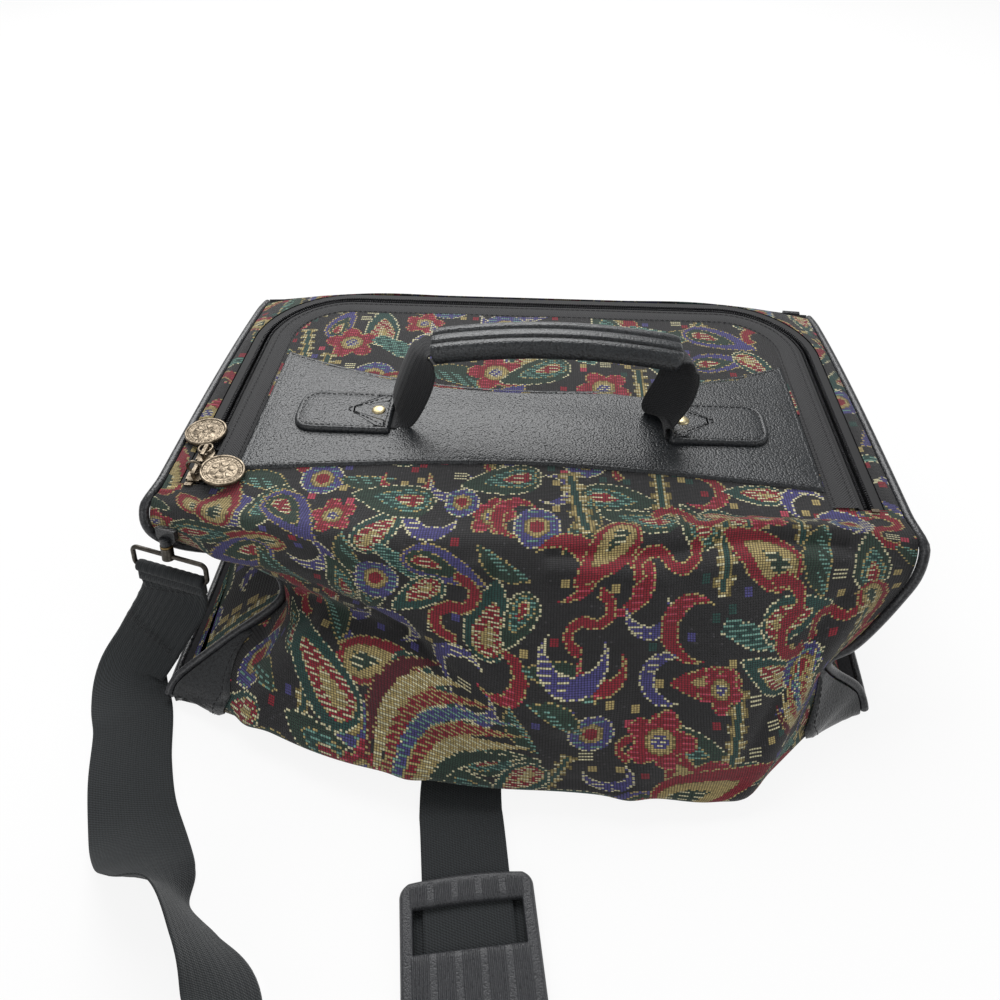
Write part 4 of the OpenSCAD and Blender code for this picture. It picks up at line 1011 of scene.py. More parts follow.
# The lid's binding, the zip and the band
def track(l, y0):
    """The zip's middle line: the places at l along it and the directions outward"""
    w = HALF_W - ZIP_INSET
    back = BACK_Y - ZIP_HALF
    side_l = back - ZIP_R - y0
    arc = ZIP_R * math.pi / 2
    rear = 2 * (w - ZIP_R)
    l = np.asarray(l, float)
    place = np.zeros(l.shape + (2,))
    out = np.zeros(l.shape + (2,))
    total = 2 * side_l + 2 * arc + rear
    mirrored = l > total / 2
    m = np.where(mirrored, total - l, l)
    a = np.clip((m - side_l) / ZIP_R, 0, math.pi / 2)
    place[..., 0] = -(w - ZIP_R) - ZIP_R * np.cos(a) + np.maximum(0, m - side_l - arc)
    place[..., 1] = np.minimum(y0 + m, back - ZIP_R) + ZIP_R * np.sin(a)
    out[..., 0] = -np.cos(a)
    out[..., 1] = np.sin(a)
    place[..., 0] *= np.where(mirrored, -1, 1)
    out[..., 0] *= np.where(mirrored, -1, 1)
    return place, out, total


def track_length(y0):
    return track(np.array([0.0]), y0)[2]


def track_strip(offsets, heights, y0, step):
    total = track_length(y0)
    l = np.linspace(0, total, int(total / step) + 1)
    place, out, _ = track(l, y0)
    xy = place[:, None] + out[:, None] * np.asarray(offsets)[None, :, None]
    z = np.broadcast_to(np.asarray(heights), xy.shape[:2])
    return np.concatenate([xy, z[..., None]], -1), l


def lid_binding():
    """Herringbone twill tape folded over the lid's edge"""
    o = np.linspace(BINDING_OUT - BINDING_W, BINDING_OUT, 15)
    v = np.linspace(0, 1, 15)
    z = LID_H + 1.2 * np.clip(np.sin(math.pi * np.clip(v, 0.03, 0.97)) ** 0.3, 0.35, 1) \
        + 0.8 * np.exp(-((v - 0.9) / 0.07) ** 2)
    z[0] = LID_H + 0.2
    rim_o = [BINDING_OUT + 0.15, BINDING_OUT - 0.1]
    rim_z = [LID_H - 0.6, LID_H - CLOTH_T]
    grid, l = track_strip(np.concatenate([o, rim_o]), np.concatenate([z, rim_z]), HINGE_Y + 6, 1.6)
    u = np.concatenate([o, [BINDING_OUT + 1, BINDING_OUT + 2.5]])
    piece = sheet_mesh("lid_edge_binding", grid, TWILL, "lid", u=u, v=l)
    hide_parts("lid_binding")
    for n, o_row in enumerate((BINDING_OUT - BINDING_W + 1.4, BINDING_OUT - 2.6)):
        path, _ = track_strip([o_row], [LID_H + 1.22], HINGE_Y + 6, 2.0)
        stitch_row("binding_stitches_%d" % n, path[:, 0], UP, "lid", 2.2, 1.1, 0.4, 0.22)


def zip_coil(name, node, offset, stretches, body):
    """One side of the coil: a flat helix along the zip's line"""
    pitch, sides, turn_steps = 1.5, 4, 8
    points, faces = [], []
    for l0, l1 in stretches:
        turns = int((l1 - l0) / pitch)
        a = np.arange(turns * turn_steps + 1) / turn_steps * 2 * math.pi
        l = l0 + a / (2 * math.pi) * pitch
        place, out, _ = track(l, ZIP_Y)
        o = offset + 0.62 * np.cos(a)
        line = np.concatenate([place + out * o[:, None],
                               (ZIP_Z + 0.85 * np.sin(a))[:, None]], 1)
        p, f = sweep(round_rings(line, 0.36, sides, up=(0.3, 0.2, 0.9)))
        faces += [[k + sum(len(q) for q in points) for k in face] for face in f]
        points.append(p)
    piece = add_mesh(name, np.concatenate(points), faces, COIL, body)
    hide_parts(node)


def zip_coils():
    """The coil's two sides: one rides on the bag and one on the lid"""
    total = track_length(ZIP_Y)
    body_start = -36.9 - ZIP_Y
    lid_gap = (-37.0 - ZIP_Y, -25.2 - ZIP_Y)
    zip_coil("zip_coil_outer", "zip_coil_body", 1.6, [(body_start + 0.4, total - 0.4)], "bag")
    zip_coil("zip_coil_inner", "zip_coil_lid", -1.6, [(0.6, lid_gap[0] - 0.3),
                                                      (lid_gap[1] + 0.4, total - 0.4)], "lid")


def band_edge(a, rear):
    """The band's front or rear edge, for a from -1 to 1 across it"""
    a = np.abs(a)
    return np.where(rear, BAND_Y + 31 + 32 * a**2.2, BAND_Y - 31 - 12 * a**1.6)


def band_height(x, y):
    """The band's wrinkles: dips beside the tabs and soft folds across the middle"""
    dips = 0
    for side in (-1, 1):
        near = np.exp(-(((x - side * 62) / 16) ** 2 + ((y - 2) / 20) ** 2))
        dips = dips - 0.5 * near
    folds = 0.35 * np.sin(y / 5.2 + 0.6 * np.sin(x / 34)) * np.exp(-((np.abs(x) - 20) / 60) ** 2)
    waves = 0.3 * np.sin(x / 19 + y / 12) * np.cos(y / 21 - x / 53)
    return dips + folds * 0.8 + waves


# The band's stitch rows run this far in from its edges
BAND_SEAM = 2.3


def lid_band():
    """The wrinkled vinyl band across the lid, with a stitch row along each edge"""
    nx, ny = 240, 84
    a = np.linspace(-1, 1, nx + 1)[:, None]
    t = np.linspace(0, 1, ny + 1)[None, :]
    front, rear = band_edge(a, False), band_edge(a, True)
    x = a * BAND_HALF + t * 0
    y = lerp(front, rear, t)
    edge = np.minimum(np.minimum((y - front), (rear - y)), (1 - np.abs(a)) * BAND_HALF + t * 0)
    rim = np.clip(edge / 0.9, 0, 1) ** 0.5
    seam = 0.28 * np.exp(-((edge - BAND_SEAM) / 0.7) ** 2)
    roll = 0.3 * np.exp(-((edge - 1.1) / 0.8) ** 2)
    calm = np.clip(edge / 10, 0, 1)
    z = LID_H + 0.15 + (VINYL_T + 0.35) * rim - seam + roll + calm * (band_height(x, y) + 0.35)
    grid = np.stack([x, y, z], -1)
    piece = sheet_mesh("lid_band_vinyl", grid, VINYL, "lid", u=t[0] * 60, v=a[:, 0] * BAND_HALF)
    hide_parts("lid_band")
    for name, rear_side, from_edge in (("band_stitches_front", False, BAND_SEAM),
                                       ("band_stitches_rear", True, -BAND_SEAM)):
        s = np.linspace(-0.985, 0.985, 300)
        path = np.stack([s * BAND_HALF, band_edge(s, rear_side) + from_edge,
                         np.full(300, LID_H + 1.42)], 1)
        stitch_row(name, path, UP, "lid", 2.9, 0.9, 0.55, 0.3)


# The handle
TAB_Z = LID_H + VINYL_T
TAB_L, TAB_W, TAB_R = 53.0, 33.0, 11.0


def rounded_outline(points, radii, steps=9):
    """A closed outline through corner points, each rounded by its own radius"""
    points = np.asarray(points, float)
    out = []
    for k, (p, r) in enumerate(zip(points, radii)):
        before, after = unit(points[k - 1] - p), unit(points[(k + 1) % len(points)] - p)
        start, end = p + before * r, p + after * r
        for t in np.linspace(0, 1, steps):
            out.append((1 - t) ** 2 * start + 2 * t * (1 - t) * p * 0.93
                       + 2 * t * (1 - t) * (start + end) / 2 * 0.07 + t**2 * end)
    return resample_closed(np.array(out), 2.0)


def resample_closed(points, step):
    loop = np.concatenate([points, points[:1]])
    run = path_length(loop)
    count = int(run[-1] / step)
    places = np.linspace(0, run[-1], count, endpoint=False)
    return np.stack([np.interp(places, run, loop[:, k]) for k in range(loop.shape[1])], 1)


def inset(outline, d):
    tangent = unit(np.roll(outline, -1, 0) - np.roll(outline, 1, 0))
    return outline + np.stack([-tangent[:, 1], tangent[:, 0]], 1) * d


# How far a padded plate's middle stands over its quilted edge
PLATE_CROWN = 0.25


def padded_plate(name, outline, z0, profile, material, body):
    """A padded plate: rings at (inset, height) over an outline that runs anticlockwise"""
    rings = []
    for d, z in profile:
        ring = inset(outline, d)
        rings.append(np.concatenate([ring, np.full((len(ring), 1), z0 + z)], 1))
    middle, last = rings[-1].mean(axis=0), rings[-1]
    for share in (0.8, 0.6, 0.4, 0.2):
        ring = middle + (last - middle) * share
        ring[:, 2] = z0 + profile[-1][1] + PLATE_CROWN * (1 - share)
        rings.append(ring)
    rings = np.array(rings)
    count, sides = rings.shape[:2]
    faces = [f[::-1] for f in grid_faces(count, sides, wrap=True).tolist()]
    faces += [list(range((count - 1) * sides, count * sides)), list(range(sides - 1, -1, -1))]
    return add_mesh(name, rings.reshape(-1, 3), faces, material, body)


def handle_tab(name, node, side):
    """A padded vinyl tab over an end of the handle, with its stitches"""
    corners = [(TAB_X, -TAB_W / 2), (TAB_X + TAB_L, -TAB_W / 2), (TAB_X + TAB_L, TAB_W / 2),
               (TAB_X, TAB_W / 2)]
    outline = rounded_outline(corners, (1.5, TAB_R, TAB_R, 1.5))
    flat = [(0.5, 0.1), (0.05, 0.7), (0, 1.5), (0.1, 2.3), (0.7, 3.2), (1.5, 3.65), (2.2, 3.6),
            (2.9, 3.2), (3.6, 3.35), (5, 3.6), (8, 3.7)]
    outline[:, 1] += HANDLE_Y
    if side < 0:
        outline[:, 0] *= -1
        outline = outline[::-1]
    piece = padded_plate(name, outline, TAB_Z, flat, VINYL, "lid")
    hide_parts(node)
    z = TAB_Z + 3.24
    loop = inset(outline, 2.9)
    loop = np.concatenate([loop, loop[:1]])
    path = np.concatenate([loop, np.full((len(loop), 1), z)], 1)
    stitch_row(name + "_stitches", path, UP, "lid", 2.2, 0.9, 0.55, 0.35)
    apex = (side * (TAB_X + 26), HANDLE_Y)
    for n, y in enumerate((-12.4, 12.4)):
        ends = np.array([[side * (TAB_X + 4), HANDLE_Y + y, TAB_Z + 3.55],
                         [side * (TAB_X + 14), HANDLE_Y + y * 0.5, TAB_Z + 3.95],
                         [apex[0], apex[1], TAB_Z + 4.05]])
        path = resample(ends, 1.0)
        stitch_row("%s_v_stitches_%d" % (name, n), path, UP, "lid", 2.2, 0.8, 0.55, 0.35)


GRIP_X, GRIP_HALF = 12, 61


def handle_line():
    """The webbing's middle line as (x, z), from under one tab over the grip to the other"""
    web_z = TAB_Z + 0.8 + 0.1
    left, right, top = GRIP_X - GRIP_HALF, GRIP_X + GRIP_HALF, LID_H + 53
    return np.array([
        (-TAB_X - 20, web_z), (-TAB_X - 10, web_z), (-TAB_X, web_z), (-TAB_X + 2, web_z + 0.5),
        (-TAB_X + 6, web_z + 5), (lerp(-TAB_X, left, 0.55), lerp(web_z, top, 0.45)),
        (left - 5, top - 12), (left, top - 6), (lerp(left, right, 0.25), top - 1.5), (GRIP_X, top),
        (lerp(left, right, 0.75), top - 1.5), (right, top - 6), (right + 3, top - 12),
        (lerp(TAB_X, right, 0.5) + 1, lerp(web_z, top, 0.45)), (TAB_X - 6, web_z + 5),
        (TAB_X - 2, web_z + 0.5), (TAB_X, web_z), (TAB_X + 10, web_z), (TAB_X + 20, web_z)])


HANDLE_LINE = handle_line()
HANDLE_END, HANDLE_MID = 18, 9
GRIP_OUTLINE = [
    [-0.5, -0.3], [-0.36, -0.5], [0.36, -0.5], [0.5, -0.3], [0.5, 0.12], [0.4, 0.42], [0.26, 0.46],
    [0.16, 0.32], [0.1, 0.46], [-0.1, 0.46], [-0.16, 0.32], [-0.26, 0.46], [-0.4, 0.42], [-0.5, 0.12],
]


def handle_frame(s):
    """Places on the handle's line, and the directions up from it"""
    p = along(HANDLE_LINE, s)
    d = unit(along(HANDLE_LINE, np.minimum(s + NUDGE, HANDLE_END))
             - along(HANDLE_LINE, np.maximum(s - NUDGE, 0)))
    return p, np.stack([-d[:, 1], d[:, 0]], 1)


def handle_rings(s, outlines):
    """The outlines, each set across the handle's line"""
    p, up = handle_frame(s)
    q = np.broadcast_to(outlines, (len(s),) + outlines.shape[-2:])
    return np.stack([p[:, None, 0] + up[:, None, 0] * q[..., 1], HANDLE_Y + q[..., 0],
                     p[:, None, 1] + up[:, None, 1] * q[..., 1]], -1)


def ribbed_outline(width, thick, ribs, height, points=56):
    """A flat webbing section with lengthwise ribs on both faces"""
    x = np.linspace(-0.5, 0.5, points // 2)
    rib = np.abs(np.sin(math.pi * ribs * (x + 0.5))) ** 0.8
    shoulder = np.clip((0.5 - np.abs(x)) * width / 1.0, 0.25, 1) ** 0.5
    y = (thick / 2 - height + height * rib) * shoulder
    top = np.stack([x * width, y], 1)
    return np.concatenate([top[::-1], np.stack([x * width, -y], 1)])


def handle_webbing():
    s = np.linspace(0, HANDLE_END, 190)
    in_grip = np.clip(3.2 - np.abs(s - HANDLE_MID), 0, 1)
    base = ribbed_outline(1.0, 1.9, 7, 0.35)
    outlines = np.repeat(base[None], len(s), axis=0)
    outlines[..., 0] *= lerp(24.0, 17.0, in_grip)[:, None]
    span = np.where(s < HANDLE_MID, np.clip((s - 3.0) / 3.9, 0, 1),
                    np.clip((15.0 - s) / 3.9, 0, 1))
    free = np.sin(math.pi * span) ** 0.8
    outlines[..., 1] += (4.0 * free[:, None]) * (1 - (outlines[..., 0] / 12) ** 2)
    outlines[..., 1] *= (1 + 0.5 * free)[:, None]
    angle = free * math.radians(48) * np.where(s < HANDLE_MID, 1, -1)
    turned_x = outlines[..., 0] * np.cos(angle)[:, None] - outlines[..., 1] * np.sin(angle)[:, None]
    turned_y = outlines[..., 0] * np.sin(angle)[:, None] + outlines[..., 1] * np.cos(angle)[:, None]
    outlines = np.stack([turned_x, turned_y], -1)
    rings = handle_rings(s, outlines)[:, ::-1]
    piece = swept("handle_strap", rings, HANDLE_CLOTH, "lid",
                  around=np.concatenate([np.linspace(0, 24, 28), np.linspace(24, 0, 28)]))
    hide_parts("handle_webbing")


def handle_grip():
    """The vinyl round the middle of the handle, and its four rows of stitches"""
    closed = np.array(GRIP_OUTLINE)
    dense = np.concatenate([along(np.concatenate([closed[-2:], closed, closed[:3]]),
                                  np.linspace(k + 2, k + 3, 5)[:-1]) for k in range(14)])
    s = np.linspace(7, 11, 110)
    swell = 1 - 0.1 * np.exp(-np.minimum(s - 7, 11 - s) / 0.05)
    outlines = dense[None] * np.array([23.0, 10.0]) * swell[:, None, None]
    rings = handle_rings(s, outlines)[:, ::-1]
    grip = swept("handle_grip_vinyl", rings, GRIP_VINYL, "lid")
    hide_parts("handle_grip")
    for n, (x, y) in enumerate(((-0.16, 0.36), (0.16, 0.36), (-0.47, -0.32), (0.47, -0.32))):
        s = np.linspace(7.06, 10.94, 120)
        p, up = handle_frame(s)
        path = np.stack([p[:, 0] + up[:, 0] * y * 10, np.full(120, HANDLE_Y + x * 23),
                         p[:, 1] + up[:, 1] * y * 10], 1)
        normal = np.stack([up[:, 0], np.zeros(120), up[:, 1]], 1)
        if y < 0:
            normal = np.tile([0.0, math.copysign(1, x), 0], (120, 1))
            path[:, 1] += math.copysign(0.7, x)
        stitch_row("grip_stitches_%d" % n, path, normal, "lid", 2.6, 1.0, 0.5, 0.3)


# Zip pulls with a generic flower in relief
PULL_R, COIN_T, EYE_R, EYE_WIRE = 11.0, 1.8, 3.5, 0.65
COIN_Y = EYE_R + PULL_R - 0.4


def coin_relief(r, a):
    """The coin's height over its flat ground: rim, beads, petals and a small middle"""
    rim = 0.55 * np.clip((r - 9.4) / 0.5, 0, 1) * np.clip((11.0 - r) / 0.45, 0, 1) ** 0.5
    beads = 0.32 * np.exp(-((r - 8.6) / 0.35) ** 2) * np.clip(np.cos(a * 32) + 0.4, 0, 1)
    ring = 0.22 * np.exp(-((r - 7.6) / 0.22) ** 2)
    petal = np.abs(np.cos(3 * a))
    leaf = 0.45 * np.clip(1 - ((r - 4.4) / (2.6 * petal + 0.01)) ** 2, 0, 1) * (petal > 0.35)
    vein = -0.16 * np.exp(-((np.abs(np.sin(3 * a)) * r) / 0.5) ** 2) * (r > 2) * (r < 6.4)
    small = 0.25 * np.exp(-((r - 5.6) / 0.8) ** 2) * (np.abs(np.sin(3 * a)) > 0.86)
    heart = 0.5 * np.clip(1 - (r / 1.9) ** 2, 0, 1)
    return rim + beads + ring + leaf + vein + small + heart


def coin_mesh():
    r = np.concatenate([np.linspace(0.15, 7, 36), np.linspace(7.15, 10.55, 26), [10.8, 11.0]])
    a = np.linspace(0, 2 * math.pi, 144, endpoint=False)
    rr, aa = np.meshgrid(r, a, indexing="ij")
    top = np.stack([rr * np.cos(aa), COIN_Y + rr * np.sin(aa),
                    COIN_T / 2 - 0.5 + coin_relief(rr, aa)], -1)
    side = top[-1:].copy()
    side[..., 2] = -COIN_T / 2 + 0.3
    low = top[-1:].copy()
    low[..., :2] = low[..., :2] * 0.98 + np.array([0, COIN_Y]) * 0.02
    low[..., 2] = -COIN_T / 2
    rings = np.concatenate([top, side, low])
    faces = [f[::-1] for f in grid_faces(len(rings), len(a), wrap=True).tolist()]
    n = rings.shape[0] * rings.shape[1]
    faces += [list(range(len(a))), list(range(n - 1, n - len(a) - 1, -1))]
    return rings.reshape(-1, 3), faces


def eye_mesh(upright):
    """The wire ring that the coin hangs from, round the origin"""
    k = np.linspace(0, 2 * math.pi, 40, endpoint=False)
    if upright:
        line = np.stack([k * 0, EYE_R * np.cos(k), EYE_R * np.sin(k)], 1)
    else:
        line = np.stack([EYE_R * np.cos(k), EYE_R * np.sin(k), k * 0], 1)
    d = unit(np.roll(line, -1, 0) - np.roll(line, 1, 0))
    out = unit(line)
    b = np.cross(d, out)
    w = np.linspace(0, 2 * math.pi, 12, endpoint=False)
    tube = line[:, None] + EYE_WIRE * (out[:, None] * np.cos(w)[None, :, None]
                                       + b[:, None] * np.sin(w)[None, :, None])
    return sweep(tube, True)


def pull_mesh(upright_eye):
    """A pull in its own frame: the eye round the origin and the coin along +Y"""
    coin, faces = coin_mesh()
    eye, eye_faces = eye_mesh(upright_eye)
    faces += [[k + len(coin) for k in f] for f in eye_faces]
    return [coin, eye], faces


def placed(points, steps):
    """The points turned and moved by a list of (axis, degrees) and (x, y, z) steps, first last"""
    p = np.concatenate(points)
    for step in steps[::-1]:
        if len(step) == 3:
            p = p + np.array(step)
        else:
            axis, angle = step
            c, s = math.cos(math.radians(angle)), math.sin(math.radians(angle))
            i, j = [(1, 2), (2, 0), (0, 1)]["xyz".index(axis)]
            q = p.copy()
            q[:, i], q[:, j] = c * p[:, i] - s * p[:, j], s * p[:, i] + c * p[:, j]
            p = q
    return p


def zip_pulls():
    x = -HALF_W + ZIP_INSET
    points, faces = pull_mesh(False)
    rear = add_mesh("rear_pull_medallion", placed(points, [
        (x, -31.2, ZIP_Z + 2.5 + 1.15), ("z", 18), ("x", -1.2), (0, EYE_R, 0)]), faces, NICKEL,
        "pull_rear")
    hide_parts("zip_pull_rear")
    rise = 1.4 + 1.1 + 0.3 + EYE_WIRE + EYE_R
    reach = COIN_Y + PULL_R
    dip = math.degrees(math.asin((ZIP_Z + rise - COIN_T / 2 - 0.3 - LID_H - 1.2) / reach))
    points, faces = pull_mesh(True)
    front = add_mesh("front_pull_medallion", placed(points, [
        (x, -45.7, ZIP_Z + rise), ("z", -90), ("x", -dip)]), faces, NICKEL, "pull_front")
    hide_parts("zip_pull_front")


# The shoulder strap
LOOP_H, WIRE_R, TAIL_L, STRAIGHT_L = 11.0, 1.2, 5.0, 6.0
BAR_DROP = LOOP_H + WIRE_R + STRAP_T / 2 + 0.6
LEFT = dict(place=np.array([-HALF_W + 5.4, FOLD_Y - 1.9, LID_H - 23]), yaw=-15, tilt=15)
RIGHT_FIT = dict(place=np.array([HALF_W - 9, BACK_Y + 6.4, LID_H - 22]), yaw=175, tilt=0)


def hung(fit, z):
    """The place z along a strap fitting that is turned and tilted"""
    yaw, tilt = math.radians(fit["yaw"]), math.radians(fit["tilt"])
    return fit["place"] + z * np.array([-math.sin(yaw) * math.sin(tilt),
                                        math.cos(yaw) * math.sin(tilt), math.cos(tilt)])


LEFT_FALL = [
    [[-9.5, -8, 0.54], -20, 0], [[-20, -16, 0.26], -17, 0], [[-27, -26, 0.09], -8, 0],
    [[-24, -38, 0.02], 4, 0], [[-16, -53, 0.02], 16, 0],
]
GROUND_COURSE = [
    [[-184, -161, 1], 25, 0], [[-173, -184, 1.4], 28, -2], [[-160, -200, 8.3], 33, -22],
    [[-149, -210, 15.6], 45, -50], [[-138.5, -218, 18.8], 118, -72], [[-122, -233, 18.9], 60, -74],
    [[-106, -251, 17], 20, -56], [[-94, -277, 19.1], 20, -76], [[-89, -308, 19.3], 10, -87],
    [[-86, -340, 19.3], 0, -90], [[-81, -380, 19.3], 0, -90], [[-73, -425, 19.3], 0, -90],
    [[-67.7, -451, 19.3], 0, -90], [[-52.4, -470, 19.3], 0, -90], [[-26, -478, 19.3], 0, -90],
    [[0.4, -470, 19.3], 0, -90], [[15.7, -451, 19.3], 0, -90], [[20, -432, 19.3], 180, -86],
    [[18, -417, 17.6], 186, -62], [[15, -403, 10.2], 187, -29], [[12.2, -391, 4.2], 188, -7],
    [[10.9, -384, 2.7], 189.3, 0], [[-4.1, -292, 2.7], 189.3, 0], [[-21, -189, 2.7], 189.3, 0],
    [[-24.2, -170, 1.4], 184, 0], [[-25, -150, 1.1], 181, 0], [[-23, -110, 1.1], 174, 0],
    [[-12, -50, 1.1], 167, 0], [[6, 10, 1.1], 163, 0], [[27, 70, 1.1], 160, 0],
    [[47, 125, 1.1], 162, 0], [[57, 152, 2], 165, 3], [[61.5, 163, 10.3], 165, 28],
    [[65.5, 172, 17.4], 163, 60], [[70.5, 182, 19.4], 0, 90], [[76.6, 199, 19.4], 0, 90],
    [[95.3, 216, 19.4], 0, 90], [[120.3, 219.4, 19.4], 0, 90], [[142.7, 207.7, 19.4], 0, 90],
    [[153.6, 190, 19.6], 0, 86],
]
RIGHT_FALL = [
    [[-13.5, 36, 0.4], 0, 74], [[-9.5, 24, 0.42], 0, 44], [[-4, 10, 0.56], -3, 12],
]


def hang_from(bar, row):
    """A row of the strap's fall, given by its share of the bar's height"""
    dx, dy, share = row[0]
    return [[bar[0] + dx, bar[1] + dy, max(bar[2] * share, 1)], row[1], row[2]]


def strap_course():
    """The strap's middle line from loop to loop, and its directions across"""
    left_bar, right_bar = hung(LEFT, -BAR_DROP), hung(RIGHT_FIT, -BAR_DROP)
    rows = [[hung(LEFT, -BAR_DROP - TAIL_L - 0.3), -15, 0],
            [hung(LEFT, -BAR_DROP - TAIL_L - STRAIGHT_L), -15, 0]]
    rows += [hang_from(left_bar, row) for row in LEFT_FALL]
    rows += GROUND_COURSE
    rows += [hang_from(right_bar, row) for row in RIGHT_FALL]
    rows += [[hung(RIGHT_FIT, -BAR_DROP - TAIL_L - STRAIGHT_L), -5, 0],
             [hung(RIGHT_FIT, -BAR_DROP - TAIL_L - 0.3), -5, 0]]
    places = np.array([list(row[0]) for row in rows], float)
    a, e = np.radians([row[1] for row in rows]), np.radians([row[2] for row in rows])
    edges = np.stack([np.cos(a) * np.cos(e), np.sin(a) * np.cos(e), np.sin(e)], 1)
    return places, edges


def strap_stitches(p, n, w, run, thick):
    """Rows of stitches across the strap's doubled ends, on both faces"""
    rows = []
    for name, l0 in (("left", 0.0), ("right", run[-1])):
        for k, l in enumerate((2.0, 33.0, 35.5)):
            place = l if l0 == 0 else l0 - l
            i = int(np.argmin(np.abs(run - place)))
            for face in (-1, 1):
                reach = np.linspace(-0.46, 0.46, 30)[:, None] * STRAP_W
                path = p[i] + w[i] * reach + n[i] * face * (thick[i] / 2 + 0.02)
                title = "strap_stitches_%s_%d_%s" % (name, k, "outer" if face > 0 else "inner")
                rows.append(stitch_row(title, path, n[i] * face, "bag", 2.2, 1.0, 0.5, 0.22))
    return rows


def strap():
    """The webbing along its whole course, double at both ends"""
    places, edges = strap_course()
    end = len(places) - 1
    s = np.linspace(0, end, end * 10 + 1)
    p = along(places, s)
    d = unit(along(places, np.minimum(s + 0.003, end)) - along(places, np.maximum(s - 0.003, 0)))
    edge = along(edges, s)
    n = unit(np.cross(d, edge))
    w = np.cross(n, d)
    run = path_length(p)
    from_end = np.minimum(run, run[-1] - run)
    double = smooth_step((36.5 - from_end) / 2.0)
    base = ribbed_outline(1.0, 1.0, 10, 0.2, 84)
    outlines = np.repeat(base[None], len(s), axis=0)
    cross = 0.3 * np.abs(np.sin(math.pi * run / 4.4)) * double
    thick = STRAP_T * (1 + double) + cross
    outlines[..., 0] *= STRAP_W - 0.6 * double[:, None] * np.abs(np.sin(run / 2.2))[:, None]
    outlines[..., 1] *= thick[:, None]
    rings = p[:, None] + w[:, None] * outlines[..., :1] + n[:, None] * outlines[..., 1:]
    rings[..., 2] = np.maximum(rings[..., 2], 0.05)
    around = np.concatenate([np.linspace(0, STRAP_W, 42), np.linspace(STRAP_W, 0, 42)])
    webbing = swept("shoulder_strap", rings, WEBBING, "bag", around=around)
    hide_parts("strap_webbing")
    return webbing, p * MM, run[-1] * MM, strap_stitches(p, n, w, run, thick)


def strap_end(name, node, fit, body):
    """The webbing sewn round the loop's lower bar, and its short tail"""
    outer = WIRE_R + 0.3 + STRAP_T
    a = np.radians(np.linspace(-60, 240, 29))
    ring = np.stack([outer * np.cos(a), -LOOP_H + outer * np.sin(a)], 1)
    bottom = -BAR_DROP - TAIL_L
    tail = np.array([[-1.75, -LOOP_H - 3.2], [-1.85, -LOOP_H - 5], [-1.8, bottom], [1.8, bottom],
                     [1.85, -LOOP_H - 5], [1.75, -LOOP_H - 3.2]])
    section = np.concatenate([ring, tail])
    x = np.linspace(-STRAP_W / 2, STRAP_W / 2, 61)
    rib = 0.22 * np.abs(np.sin(math.pi * 10 * (x / STRAP_W + 0.5))) - 0.22
    middle = np.array([0, -LOOP_H])
    rings = []
    for xx, r in zip(x, rib):
        q = section + unit(section - middle) * r
        rings.append(np.stack([np.full(len(q), xx), q[:, 0], q[:, 1]], 1))
    rings = np.array(rings)
    points, faces = sweep(rings)
    local = placed([points], [tuple(fit["place"]), ("z", fit["yaw"]), ("x", -fit["tilt"])])
    uv = sweep_uv(faces, rings, path_length(rings.mean(axis=1)), np.arange(len(section)))
    uv = [(v, u) for u, v in uv]
    piece = add_mesh(name, local, faces, WEBBING, body, uv)
    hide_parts(node)
    return piece


PAD_X, PAD_Y, PAD_TURN = -4.6, -289, math.radians(9.33)
PAD_HALF_W, PAD_HALF_L, PAD_BAR, PAD_R = 28.5, 89.0, 11.0, 6.0
WINDOW_W, WINDOW_L = 46.0, 16.5
WINDOW_Y = PAD_HALF_L - PAD_BAR - WINDOW_L / 2
# Places across the pad for its five groups of five ridges
RIDGE_GROUP, RIDGE_PITCH = 57 / 5.6, 1.5


def laid(points):
    """The pad's points turned and moved to its place on the strap"""
    c, s = math.cos(PAD_TURN), math.sin(PAD_TURN)
    return np.stack([PAD_X + points[..., 0] * c - points[..., 1] * s,
                     PAD_Y + points[..., 0] * s + points[..., 1] * c, points[..., 2]], -1)


def plate_under(top, keep, floor_z):
    """Points and faces of a plate from a grid of its top down to a flat floor"""
    faces = grid_faces(*top.shape[:2])[keep.ravel()][:, ::-1]
    points = top.reshape(-1, 3)
    low = points.copy()
    low[:, 2] = floor_z
    shift = len(points)
    edges = {}
    for f in faces:
        for k in range(4):
            a, b = int(f[k]), int(f[(k + 1) % 4])
            if (b, a) in edges:
                del edges[(b, a)]
            else:
                edges[(a, b)] = True
    walls = [[b, a, a + shift, b + shift] for a, b in edges]
    floor_faces = [[int(k) + shift for k in f[::-1]] for f in faces]
    all_faces = faces.tolist() + walls + floor_faces
    points = np.concatenate([points, low])
    used = np.unique([k for f in all_faces for k in f])
    renumber = np.zeros(len(points), int)
    renumber[used] = np.arange(len(used))
    return points[used], [[int(renumber[k]) for k in f] for f in all_faces]


def pad_rows():
    """Places along the pad, closer at its rounded corners and at the windows' edges"""
    corner = PAD_R * (1 - np.sin(np.radians(np.linspace(0, 90, 12))))
    return np.unique(np.concatenate([
        np.linspace(-PAD_HALF_L, PAD_HALF_L, 90), PAD_HALF_L - corner, corner - PAD_HALF_L,
        [side * (PAD_HALF_L - PAD_BAR - k) for side in (-1, 1)
         for k in (0, 0.15, WINDOW_L - 0.15, WINDOW_L)]]))


